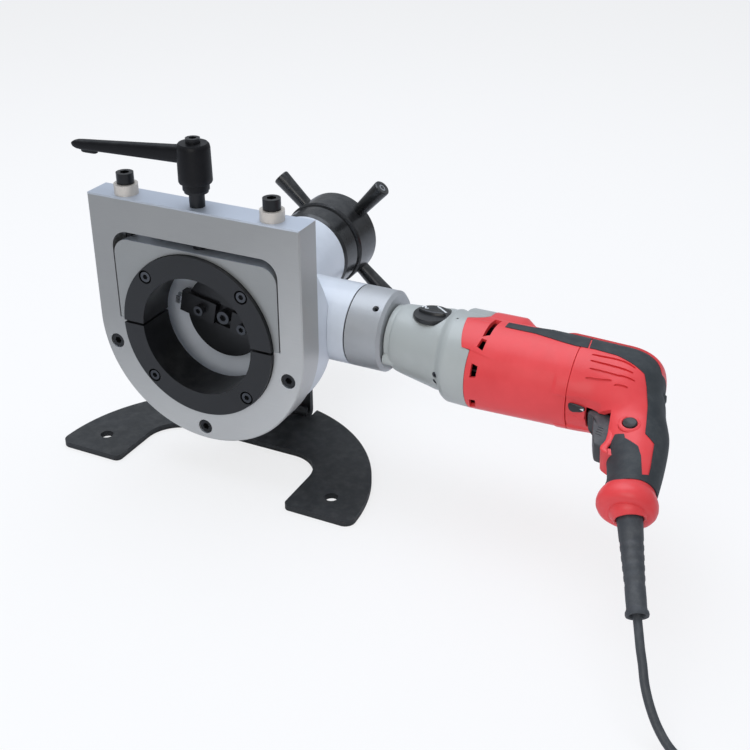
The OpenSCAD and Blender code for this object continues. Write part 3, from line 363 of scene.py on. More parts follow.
    def _painted_light(self) -> bpy.types.NodeTree:
        """Painted light: a wide soft lightening of the tone over a piece (painted shading gradient), and a
        mask of faces that look up, where a painted sky reflection goes.

        Returns:
            The group.
        """
        tree, given, out = self._start("Painted room light", "Vector Normal", "AlongX AlongZ From To Gain Sky",
                                       "Gain Sky")
        split, faced = (tree.nodes.new("ShaderNodeSeparateXYZ") for _ in range(2))
        tree.links.new(given["Vector"], split.inputs[0])
        tree.links.new(given["Normal"], faced.inputs[0])
        # painted shading gradient: the tone grows lighter over a length
        along = self.math(tree, "MULTIPLY_ADD", split.outputs[0], given["AlongX"],
                          self.math(tree, "MULTIPLY", split.outputs[2], given["AlongZ"]))
        part = self.math(tree, "DIVIDE", self.math(tree, "SUBTRACT", along, given["From"]),
                         self.math(tree, "SUBTRACT", given["To"], given["From"]), clamp=True)
        gain = self.math(tree, "MULTIPLY_ADD", part, self.math(tree, "SUBTRACT", given["Gain"], 1.0), 1.0)
        tree.links.new(gain, out["Gain"])
        # mask of the painted sky reflection on faces that look up
        sky = self.math(tree, "MULTIPLY", self.ramp(tree, faced.outputs[2], 0.35, 0.95), given["Sky"])
        tree.links.new(sky, out["Sky"])
        return tree


class Paint:
    """Makes each finish's material once and hands it out."""

    # how much scuffs and dust roughen, and how rough a coat is
    SCUFF_ROUGH = 0.2
    DUST_ROUGH = 0.3
    COAT_ROUGH = 0.12

    def __init__(self) -> None:
        """Start with the shared groups and no material."""
        self.groups = Groups()
        self.made: dict[str, bpy.types.Material] = {}

    def get(self, finish: Finish) -> bpy.types.Material:
        """Return the material of a finish.

        Args:
            finish: The finish.

        Returns:
            Its material.
        """
        if finish.name not in self.made:
            self.made[finish.name] = self._make(finish)
        return self.made[finish.name]

    def _place(self, tree: bpy.types.NodeTree, finish: Finish) -> object:
        """Give the pattern's coordinates: the object's own, centred, with a turned axis laid on z.

        Args:
            tree: The node tree that it goes into.
            finish: The finish.

        Returns:
            The socket with the place.
        """
        place = tree.nodes.new("ShaderNodeTexCoord")
        lay = tree.nodes.new("ShaderNodeMapping")
        lay.vector_type = "POINT"
        turns = {Pattern.TURNED_X: (0.0, -math.pi / 2, 0.0), Pattern.TURNED_Y: (math.pi / 2, 0.0, 0.0)}
        first = tree.nodes.new("ShaderNodeMapping")
        first.inputs["Location"].default_value = [-v * MM for v in finish.centre]
        tree.links.new(place.outputs["Object"], first.inputs["Vector"])
        lay.inputs["Rotation"].default_value = turns.get(finish.pattern, (0.0, 0.0, 0.0))
        tree.links.new(first.outputs[0], lay.inputs["Vector"])
        return lay.outputs[0]

    def _use(self, tree: bpy.types.NodeTree, group: bpy.types.NodeTree, **values: object) -> bpy.types.Node:
        """Place a group in a material.

        Args:
            tree: The material's node tree.
            group: The group.
            values: A number or a socket for each named input.

        Returns:
            The group node.
        """
        node = tree.nodes.new("ShaderNodeGroup")
        node.node_tree = group
        for label, value in values.items():
            feed(tree, node.inputs[label], value)
        return node

    def _make(self, finish: Finish) -> bpy.types.Material:
        """Build the material of a finish from the groups.

        Args:
            finish: The finish.

        Returns:
            The new material.
        """
        material = bpy.data.materials.new(finish.name)
        material.use_nodes = True
        tree = material.node_tree
        shader = tree.nodes["Principled BSDF"]
        vector = self._place(tree, finish)
        normal = tree.nodes.new("ShaderNodeTexCoord").outputs["Normal"]
        kinds = {Pattern.GRAIN: self.groups.grain, Pattern.BRUSHED: self.groups.brushed}
        group = kinds.get(finish.pattern, self.groups.turned)
        fine = self._use(tree, group, Vector=vector, Scale=1.0 / (finish.size * MM))
        marks = self._use(tree, self.groups.scuffs, Vector=vector, Amount=finish.scuffs)
        dust = self._use(tree, self.groups.dust, Vector=vector, Normal=normal, Amount=finish.dust)

        tones = Groups.blend(tree, fine.outputs["Tone"], finish.tone, finish.second)
        # painted shading gradient that lightens the tone along a direction
        along_x, along_z, start, end, gain = finish.fade
        where = tree.nodes.new("ShaderNodeTexCoord").outputs["Object"]
        around = self._use(tree, self.groups.around, Vector=where, Normal=normal, AlongX=along_x,
                           AlongZ=along_z, From=start * MM, To=end * MM, Gain=gain, Sky=finish.sky)
        scaled = tree.nodes.new("ShaderNodeVectorMath")
        scaled.operation = "SCALE"
        tree.links.new(tones, scaled.inputs[0])
        tree.links.new(around.outputs["Gain"], scaled.inputs["Scale"])
        # painted sky reflection mixed into faces that look up, then real settled dust over it
        pale = Groups.blend(tree, around.outputs["Sky"], scaled.outputs[0], PAINTED_SKY_TONE)
        dust_and_painted_light = Groups.blend(tree, dust.outputs["Mask"], pale, DUST_TONE)
        tree.links.new(dust_and_painted_light, shader.inputs["Base Color"])

        rough = Groups.ramp(tree, fine.outputs["Tone"], 0.0, 1.0, finish.rough - finish.rough_swing / 2,
                            finish.rough + finish.rough_swing / 2)
        worn = Groups.math(tree, "MULTIPLY_ADD", marks.outputs["Mask"], self.SCUFF_ROUGH, rough)
        rougher = Groups.math(tree, "MULTIPLY_ADD", dust.outputs["Mask"], self.DUST_ROUGH, worn,
                               clamp=True)
        tree.links.new(rougher, shader.inputs["Roughness"])

        bump = tree.nodes.new("ShaderNodeBump")
        bump.inputs["Strength"].default_value = 1.0
        bump.inputs["Distance"].default_value = finish.height * MM
        cut = Groups.math(tree, "SUBTRACT", fine.outputs["Height"], marks.outputs["Mask"])
        tree.links.new(cut, bump.inputs["Height"])
        tree.links.new(bump.outputs["Normal"], shader.inputs["Normal"])

        # emission of the tone at the finish's glow strength: painted glow, which only the chamber floor has
        tree.links.new(dust_and_painted_light, shader.inputs["Emission Color"])
        shader.inputs["Emission Strength"].default_value = finish.glow
        shader.inputs["Metallic"].default_value = finish.metallic
        shader.inputs["Specular IOR Level"].default_value = finish.specular
        shader.inputs["Coat Weight"].default_value = finish.coat
        shader.inputs["Coat Roughness"].default_value = self.COAT_ROUGH
        return material


DRIVE_AXIS = (0.0, 87.0, 0.0)

# painted light: the plate's tone is lightened towards +x and low z by a painted shading gradient, and its top
# faces take a painted sky reflection
PLATE = Finish("Milled aluminium", (150, 150, 149), (160, 160, 158), 0.42, 0.08, 0.6,
               Pattern.BRUSHED, 0.35, 0.004, dust=0.03, scuffs=0.2, fade=(0.55, -0.83, -60, 110, 1.7),
               sky=0.6)
# painted light: the jaw's top faces take a painted sky reflection
JAW = Finish("Milled aluminium jaw", (146, 147, 146), (156, 157, 155), 0.42, 0.08, 0.6,
             Pattern.BRUSHED, 0.3, 0.004, dust=0.03, scuffs=0.2, sky=0.5)
COLLET = Finish("Black oxide steel", (20, 21, 23), (30, 31, 34), 0.38, 0.14, 0.25,
                Pattern.TURNED_Y, 0.5, 0.006, dust=0.05, scuffs=0.4)
BLACK_SCREW = Finish("Blackened screws", (24, 25, 27), (38, 39, 42), 0.36, 0.16, 0.5, size=0.5, height=0.006,
                     dust=0.08)
GREY_SCREW = Finish("Worn steel screws", (60, 62, 66), (84, 86, 90), 0.34, 0.16, 0.8, size=0.5, height=0.006)
BRONZE = Finish("Turned bronze", (196, 188, 178), (212, 205, 196), 0.34, 0.1, 0.35, Pattern.TURNED_Z, 0.3,
                0.008, centre=(76.0, 14.5, 0.0))
LEVER = Finish("Black cast lever", (10, 10, 13), (15, 15, 18), 0.42, 0.1, size=0.5, height=0.012, dust=0.04,
               scuffs=0.1, specular=0.2)
WHITE = Finish("White enamelled casting", (205, 210, 217), (214, 219, 226), 0.33, 0.08, size=1.6,
               height=0.012, coat=0.25, dust=0.04, scuffs=0.15)
# Painted light: a lighter copy of the white enamel with a small emission, a painted glow that lifts the
# shaded chamber floor inside the bore
PAINTED_GLOW_FLOOR = Finish("White chamber floor, painted glow", (226, 231, 236), (234, 239, 244), 0.4, 0.08, size=1.2, height=0.008,
               dust=0.02, scuffs=0.1, glow=0.28)
STAND = Finish("Black powder coat", (24, 26, 27), (34, 36, 38), 0.52, 0.12, size=0.6, height=0.02,
               dust=0.05, scuffs=0.2)
GLOSS = Finish("Black anodised", (16, 17, 18), (23, 24, 26), 0.3, 0.1, 0.15, Pattern.TURNED_Y, 0.6, 0.003,
               coat=0.2, dust=0.06)
SPOKE = Finish("Black lacquered bar", (15, 16, 17), (23, 24, 25), 0.3, 0.12, size=0.8, height=0.008, coat=0.2)
STEEL = Finish("Bright steel", (158, 160, 163), (178, 180, 183), 0.28, 0.1, 0.95, size=0.5, height=0.003)
GEAR = Finish("Hardened gear steel", (112, 111, 108), (134, 132, 128), 0.34, 0.12, 0.9, size=0.4,
              height=0.004)
BEARING = Finish("Ground bearing steel", (168, 170, 172), (186, 187, 188), 0.24, 0.08, 0.95, size=0.4,
                 height=0.002)
BRASS = Finish("Bearing bronze", (170, 132, 82), (188, 150, 98), 0.36, 0.12, 0.85, size=0.5, height=0.005)
SEAL = Finish("Black rubber seal", (22, 23, 25), (32, 33, 35), 0.62, 0.1, size=0.5, height=0.01)
COLLAR = Finish("Turned aluminium", (166, 168, 170), (178, 180, 182), 0.42, 0.1, 0.4, Pattern.TURNED_X, 0.4,
                0.004, centre=DRIVE_AXIS, dust=0.05, scuffs=0.2)
CASE = Finish("Grey painted casting", (170, 174, 171), (178, 182, 179), 0.42, 0.1, 0.05, size=0.9,
              height=0.012, coat=0.1, dust=0.06, scuffs=0.15)
RED = Finish("Red moulded plastic", (226, 63, 66), (234, 71, 74), 0.4, 0.08, size=0.7, height=0.012,
             coat=0.05, dust=0.02, scuffs=0.15, specular=0.4)
RUBBER = Finish("Dark overmould", (44, 49, 52), (51, 56, 59), 0.62, 0.1, size=0.45, height=0.03, dust=0.05,
                scuffs=0.1, specular=0.35)
BLACK_PLASTIC = Finish("Black plastic", (22, 23, 25), (30, 31, 33), 0.34, 0.12, size=0.7, height=0.01,
                       dust=0.05)
TRIGGER = Finish("Charcoal plastic", (47, 49, 52), (56, 58, 61), 0.46, 0.1, size=0.6, height=0.012)
COPPER = Finish("Copper windings", (150, 84, 52), (172, 104, 66), 0.38, 0.12, 0.8, size=0.5, height=0.02)
CARBON = Finish("Carbon", (30, 30, 32), (42, 42, 44), 0.6, 0.1, size=0.4, height=0.01)
CORD = Finish("Cord jacket", (52, 55, 59), (60, 63, 67), 0.55, 0.1, size=0.5, height=0.012, dust=0.1)
MARK = Finish("White marking", (214, 216, 216), (226, 228, 228), 0.5, 0.06, size=0.5, height=0.004, dust=0.0)

NODE_FINISH: dict[str, Finish] = {node: finish for finish, nodes in (
    (PLATE, "clamp_plate"),
    (JAW, "upper_jaw"),
    (COLLET, "lower_collet upper_collet cutter_head tool_holders"),
    (BLACK_SCREW, "plate_screws guide_screws clamp_screw lever_cap_screw handle_screws"),
    (GREY_SCREW, "lower_collet_screws upper_collet_screws housing_screws tool_screws collar_screws "
     "gear_case_screws"),
    (BRONZE, "guide_bushes"),
    (LEVER, "clamp_lever"),
    (WHITE, "chamber_ring gear_housing"),
    (PAINTED_GLOW_FLOOR, "bearing_cover"),
    (BEARING, "gear_bearings drill_bearings"),
    (STAND, "stand"),
    (GEAR, "crown_gear drive_pinion"),
    (STEEL, "drive_shaft drill_spindle main_spindle tool_bits feed_quill spoke_screws"),
    (BRASS, "quill_bearing"),
    (GLOSS, "feed_flange feed_wheel"),
    (SPOKE, "wheel_spokes"),
    (SEAL, "branch_seal cord_tie"),
    (COLLAR, "drive_collar"),
    (CASE, "gear_case"),
    (RED, "motor_housing handle_left handle_right"),
    (COPPER, "motor_field motor_armature"),
    (BLACK_PLASTIC, "cooling_fan switch_body lock_button direction_lever speed_knob"),
    (CARBON, "brushes"),
    (RUBBER, "spine_overmold grip_overmold"),
    (TRIGGER, "trigger"),
    (CORD, "cord_boot cord_lead cord_coil cord_tail cord_plug"),
) for node in nodes.split()}


# ---------------------------------------------------------------- meshes


def put_mesh(name: str, points: Array, faces: Array | Sequence[Sequence[int]],
             materials: Sequence[bpy.types.Material], sharp: float = 35.0) -> bpy.types.Object:
    """Make an object at the origin from points in millimetres.

    Args:
        name: Name of the piece.
        points: An (n, 3) array.
        faces: Corner indices of each face.
        materials: The materials, the first of which every face starts with.
        sharp: Edges that turn by more than this many degrees are shaded as sharp.

    Returns:
        The new object, linked to the scene.
    """
    mesh = bpy.data.meshes.new(name)
    rows = faces.tolist() if isinstance(faces, np.ndarray) else [list(f) for f in faces]
    mesh.from_pydata((np.asarray(points, float) * MM).tolist(), [], rows)
    mesh.update()
    for material in materials:
        mesh.materials.append(material)
    piece = bpy.data.objects.new(name, mesh)
    bpy.context.scene.collection.objects.link(piece)
    shade(piece, sharp)
    return piece


def shade(piece: bpy.types.Object, sharp: float = 35.0) -> None:
    """Shade a mesh smooth, apart from its sharp edges.

    Args:
        piece: The piece.
        sharp: Edges that turn by more than this many degrees are shaded as sharp.
    """
    mesh = piece.data
    mesh.polygons.foreach_set("use_smooth", np.ones(len(mesh.polygons), bool))
    mesh.set_sharp_from_angle(angle=math.radians(sharp))
    mesh.update()


def grid_faces(rows: int, cols: int, closed: bool = True, start: int = 0) -> Array:
    """Corner indices of the quads of a grid whose columns may join up into rings.

    Args:
        rows: Rows of the grid.
        cols: Columns of the grid.
        closed: Whether the last column joins the first.
        start: Index of the first point.

    Returns:
        An (n, 4) array.
    """
    across = cols if closed else cols - 1
    i, k = np.meshgrid(np.arange(rows - 1), np.arange(across), indexing="ij")
    here = i * cols + k
    beside = i * cols + (k + 1) % cols
    return np.stack([here, beside, beside + cols, here + cols], -1).reshape(-1, 4) + start


def capped(rings: Array) -> Form:
    """Close a stack of rings with a fan at each end.

    Args:
        rings: An (m, n, 3) array, m rings of n points each.

    Returns:
        The points and the faces of the closed form.
    """
    m, n, _ = rings.shape
    ends = np.stack([rings[0].mean(0), rings[-1].mean(0)])
    points = np.concatenate([rings.reshape(-1, 3), ends])
    faces = grid_faces(m, n).tolist()
    last = (m - 1) * n
    faces += [[m * n, (k + 1) % n, k] for k in range(n)]
    faces += [[m * n + 1, last + k, last + (k + 1) % n] for k in range(n)]
    return points, faces


def unit(vectors: Array) -> Array:
    """Scale vectors to length one."""
    return vectors / np.linalg.norm(vectors, axis=-1, keepdims=True)


def sweep(path: Array, profile: Array, up: Sequence[float] = (0.0, 0.0, 1.0)) -> Array:
    """Carry a closed profile along a path.

    Each profile point (a, b) lies at path + a * side + b * over, where side is square to the path's
    direction and to the carried up vector, and over is square to both.

    Args:
        path: An (m, 3) array of points.
        profile: An (n, 2) array, or (m, n, 2) with a profile for each point.
        up: The vector that starts as up.

    Returns:
        An (m, n, 3) array of rings.
    """
    ahead = unit(np.gradient(path, axis=0))
    sides = np.zeros_like(path)
    lift = np.array(up, float)
    for i, way in enumerate(ahead):
        side = np.cross(way, lift)
        side = side / np.linalg.norm(side)
        lift = np.cross(side, way)
        sides[i] = side
    overs = np.cross(sides, ahead)
    profile = np.broadcast_to(profile, (len(path),) + profile.shape[-2:])
    return (path[:, None] + profile[..., :1] * sides[:, None] + profile[..., 1:] * overs[:, None])


def circle(radius: float, count: int) -> Array:
    """Points of a circle as an (n, 2) array."""
    a = np.linspace(0, 2 * np.pi, count, endpoint=False)
    return radius * np.stack([np.cos(a), np.sin(a)], -1)


def spun(profile: Sequence[tuple[float, float]], count: int = 64) -> Array:
    """Turn a profile of (radius, height) about z: each point (r cos a, r sin a, h).

    Args:
        profile: Places of (radius, height).
        count: Places round the axis.

    Returns:
        An (m, count, 3) array of rings.
    """
    rh = np.array(profile, float)
    a = np.linspace(0, 2 * np.pi, count, endpoint=False)
    r, h = rh[:, :1], rh[:, 1:]
    return np.stack([r * np.cos(a), r * np.sin(a), h + 0 * a], -1)


def aimed(points: Array, origin: Sequence[float], way: Sequence[float],
          over: Sequence[float] = (0.0, 0.0, 1.0)) -> Array:
    """Turn points whose z is the length of a piece so that z runs along way, and move them to origin.

    Args:
        points: An array of places, its last axis (x, y, z).
        origin: Where z is 0.
        way: Direction of z.
        over: Direction that x is square to.

    Returns:
        The moved points.
    """
    z = unit(np.array(way, float))
    x = unit(np.cross(np.array(over, float), z))
    y = np.cross(z, x)
    return np.array(origin, float) + points[..., :1] * x + points[..., 1:2] * y + points[..., 2:] * z


def turned(profile: Sequence[tuple[float, float]], count: int, origin: Sequence[float], way: Sequence[float],
           over: Sequence[float] = (0.0, 0.0, 1.0)) -> Form:
    """Turn a profile of (radius, height) into a closed form that stands at origin along way."""
    return capped(aimed(spun(profile, count), origin, way, over))


def smooth_path(points: Sequence[Sequence[float]], steps: int) -> Array:
    """Put points on a smooth curve through the given ones, steps to each stretch.

    Between b and c, with neighbours a and d and t from 0 to 1, the point is half of
    2b + (c - a) t + (2a - 5b + 4c - d) t^2 + (3b - a - 3c + d) t^3.

    Args:
        points: The places that it runs through.
        steps: Places to each stretch.

    Returns:
        An (n, 3) array.
    """
    p = np.array(points, float)
    n = len(p) - 1
    i = np.arange(n)
    a, b, c, d = p[np.maximum(i - 1, 0)], p[i], p[i + 1], p[np.minimum(i + 2, n)]
    t = (np.arange(steps) / steps)[None, :, None]
    a, b, c, d = (q[:, None] for q in (a, b, c, d))
    rows = 0.5 * (2 * b + (c - a) * t + (2 * a - 5 * b + 4 * c - d) * t**2
                  + (3 * b - a - 3 * c + d) * t**3)
    return np.concatenate([rows.reshape(-1, 3), p[-1:]])


def path_length(path: Array) -> float:
    """Length of a path of points."""
    return float(np.linalg.norm(np.diff(path, axis=0), axis=1).sum())


def through(xs: Sequence[float], ys: Sequence[float]) -> Callable[[Array], Array]:
    """Return a smooth function through points that never swings past them.

    The slope at a point is the harmonic mean of the slopes beside it, or zero where they differ in sign,
    and each stretch is the cubic with those end slopes.

    Args:
        xs: Rising places.
        ys: Values there.

    Returns:
        The function, which takes and gives arrays.
    """
    x0, y0 = np.array(xs, float), np.array(ys, float)
    h = np.diff(x0)
    d = np.diff(y0) / h
    m = np.concatenate([d[:1], np.zeros(len(d) - 1), d[-1:]])
    both = d[:-1] * d[1:]
    total = np.where(both > 0, d[:-1] + d[1:], 1.0)
    m[1:-1] = np.where(both > 0, 2 * both / total, 0.0)

    def curve(x: Array) -> Array:
        """Value at x, held at the ends.

        Args:
            x: Places.

        Returns:
            Values there.
        """
        x = np.clip(x, x0[0], x0[-1])
        i = np.clip(np.searchsorted(x0, x, side="right") - 1, 0, len(h) - 1)
        t = (x - x0[i]) / h[i]
        return ((1 + 2 * t) * (1 - t) ** 2 * y0[i] + t * (1 - t) ** 2 * h[i] * m[i]
                + t * t * (3 - 2 * t) * y0[i + 1] + t * t * (t - 1) * h[i] * m[i + 1])

    return curve


# ---------------------------------------------------------------- camera, floor and light


@dataclass
class Studio:
    """Camera at the photograph's place, a pale floor and soft light."""

    place: tuple[float, float, float] = (572.0, -809.8, 495.6)
    tilt: float = 61.26
    pan: float = 25.8
    lens: float = 57.18
    # strength of the sky, and the share of the floor's own light that the camera sees
    sky: float = 0.62
    white: float = 0.72

    def camera(self) -> None:
        """Set up the camera."""
        data = bpy.data.cameras.new("Camera")
        data.lens = self.lens
        data.sensor_width = 36.0
        data.clip_end = 20.0
        camera = bpy.data.objects.new("Camera", data)
        camera.location = Vector(self.place) * MM
        camera.rotation_euler = (math.radians(self.tilt), 0.0, math.radians(self.pan))
        bpy.context.scene.collection.objects.link(camera)
        bpy.context.scene.camera = camera

    def floor(self) -> None:
        """Lay a white floor that keeps the shadow and shows white to the camera and in reflections."""
        half = 6000.0
        corners = np.array([[-half, -half, 0], [half, -half, 0], [half, half, 0], [-half, half, 0]])
        material = bpy.data.materials.new("Studio floor")
        material.use_nodes = True
        tree = material.node_tree
        shader = tree.nodes["Principled BSDF"]
        shader.inputs["Base Color"].default_value = linear(238, 238, 240)
        shader.inputs["Roughness"].default_value = 0.9
        glow = tree.nodes.new("ShaderNodeEmission")
        seen = tree.nodes.new("ShaderNodeLightPath")
        mix = tree.nodes.new("ShaderNodeMixShader")
        share = Groups.math(tree, "MULTIPLY", seen.outputs["Is Camera Ray"], self.white)
        tree.links.new(share, mix.inputs["Fac"])
        tree.links.new(shader.outputs[0], mix.inputs[1])
        tree.links.new(glow.outputs[0], mix.inputs[2])
        tree.links.new(mix.outputs[0], tree.nodes["Material Output"].inputs["Surface"])
        floor = put_mesh("studio_floor", corners + [0, 0, FLOOR_Z - FLOOR_GAP], [[0, 1, 2, 3]], [material])

    def world(self) -> None:
        """Light from a pale sky over a grey ground, seen as white by the camera."""
        world = bpy.data.worlds.new("Studio")
        bpy.context.scene.world = world
        world.use_nodes = True
        tree = world.node_tree
        ground = tree.nodes["Background"]
        ground.inputs["Strength"].default_value = self.sky
        place = tree.nodes.new("ShaderNodeTexCoord")
        split = tree.nodes.new("ShaderNodeSeparateXYZ")
        tree.links.new(place.outputs["Generated"], split.inputs[0])
        height = Groups.ramp(tree, split.outputs[2], -0.1, 0.6)
        tree.links.new(Groups.blend(tree, height, (176, 176, 178), (236, 244, 255)), ground.inputs["Color"])
        white = tree.nodes.new("ShaderNodeBackground")
        seen = tree.nodes.new("ShaderNodeLightPath")
        both = tree.nodes.new("ShaderNodeMixShader")
        tree.links.new(seen.outputs["Is Camera Ray"], both.inputs["Fac"])
        tree.links.new(ground.outputs[0], both.inputs[1])
        tree.links.new(white.outputs[0], both.inputs[2])
        tree.links.new(both.outputs[0], tree.nodes["World Output"].inputs["Surface"])

    def lamp(self, name: str, place: Sequence[float], aim: Sequence[float], size: float,
             power: float, tint: tuple[float, float, float]) -> None:
        """Hang one soft square lamp, places in metres.

        Args:
            name: Name of the lamp.
            place: Where it hangs.
            aim: Where it points.
            size: Its width.
            power: Its power in watts.
            tint: Its colour as display values.
        """
        data = bpy.data.lights.new(name, "AREA")
        data.shape = "SQUARE"
        data.size = size
        data.energy = power
        data.color = linear(*tint)[:3]
        lamp = bpy.data.objects.new(name, data)
        lamp.location = place
        lamp.rotation_euler = (Vector(aim) - Vector(place)).to_track_quat("-Z", "Y").to_euler()
        bpy.context.scene.collection.objects.link(lamp)

    def build(self) -> None:
        """Set up the whole studio."""
        bpy.context.scene.view_settings.view_transform = "Standard"
        self.camera()
        self.floor()
        self.world()
        self.lamp("Overhead", (-0.2, 0.3, 1.6), (0.1, 0.05, 0.0), 1.6, 20.0, (236, 243, 255))
        self.lamp("Front", (0.5, -1.7, 0.9), (0.15, 0.0, 0.0), 1.2, 10.0, (255, 252, 247))
        LOG.info("studio ready")


# ---------------------------------------------------------------- closed forms and pieces


def joined(parts: Sequence[Form]) -> Form:
    """Join closed forms into one list of points and faces.

    Args:
        parts: The closed forms.

    Returns:
        One form with all of them.
    """
    points, faces, start = [], [], 0
    for p, f in parts:
        points.append(p)
        faces += [[v + start for v in face] for face in f]
        start += len(p)
    return np.concatenate(points), faces


def outward(piece: bpy.types.Object, gap: float = 0.0) -> None:
    """Turn every face of a mesh outwards, once points closer than a gap in millimetres are merged.

    Args:
        piece: The piece, whose mesh is changed.
        gap: Greatest distance of points that are merged.
    """
    form = bmesh.new()
    form.from_mesh(piece.data)
    if gap:
        bmesh.ops.remove_doubles(form, verts=form.verts, dist=gap * MM)
    bmesh.ops.recalc_face_normals(form, faces=form.faces)
    form.to_mesh(piece.data)
    form.free()


def carve(piece: bpy.types.Object, forms: Sequence[Form], kind: str = "DIFFERENCE") -> None:
    """Cut closed forms out of a piece, or keep what it shares with them.

    Args:
        piece: The piece, whose mesh is replaced.
        forms: Closed forms in millimetres.
        kind: The Boolean operation.
    """
    for form in forms:
        tool = put_mesh("tool", *form, [])
        outward(tool)
        cut = piece.modifiers.new("cut", "BOOLEAN")
        cut.operation = kind
        cut.solver = "EXACT"
        cut.object = tool
        bpy.context.view_layer.update()
        done = bpy.data.meshes.new_from_object(piece.evaluated_get(bpy.context.evaluated_depsgraph_get()))
        piece.modifiers.clear()
        old = piece.data
        piece.data = done
        done.name = piece.name
        bpy.data.meshes.remove(old)
        bpy.data.meshes.remove(tool.data)


@dataclass
class Maker:
    """Something that makes pieces and puts them on their bodies."""

    paint: Paint

    def place(self, name: str, form: Form, look: Finish, slot: str, body: str = "root",
              nodes: Sequence[str] = (), sharp: float = 35.0, cuts: Sequence[Form] = (),
              within: Sequence[Form] = ()) -> bpy.types.Object:
        """Args:
            name: Name of the piece.
            form: Its points in millimetres and its faces.
            look: Its finish.
            slot: Name of a record's material slot; not used.
            body: The CAD body that it rides on.
            nodes: The CAD nodes that it stands for.
            sharp: Edges that turn by more than this many degrees are shaded as sharp.
            cuts: Closed forms that are cut out of it.
            within: Closed forms that it is first cut down to.

        Returns:
            The piece.
        """
        piece = put_mesh(name, *form, [self.paint.get(look)], sharp)
        outward(piece)
        carve(piece, within, "INTERSECT")
        carve(piece, cuts)
        if within or cuts:
            shade(piece, sharp)
        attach(piece, body)
        if nodes:
            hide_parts(*nodes)
        return piece


# ---------------------------------------------------------------- cord


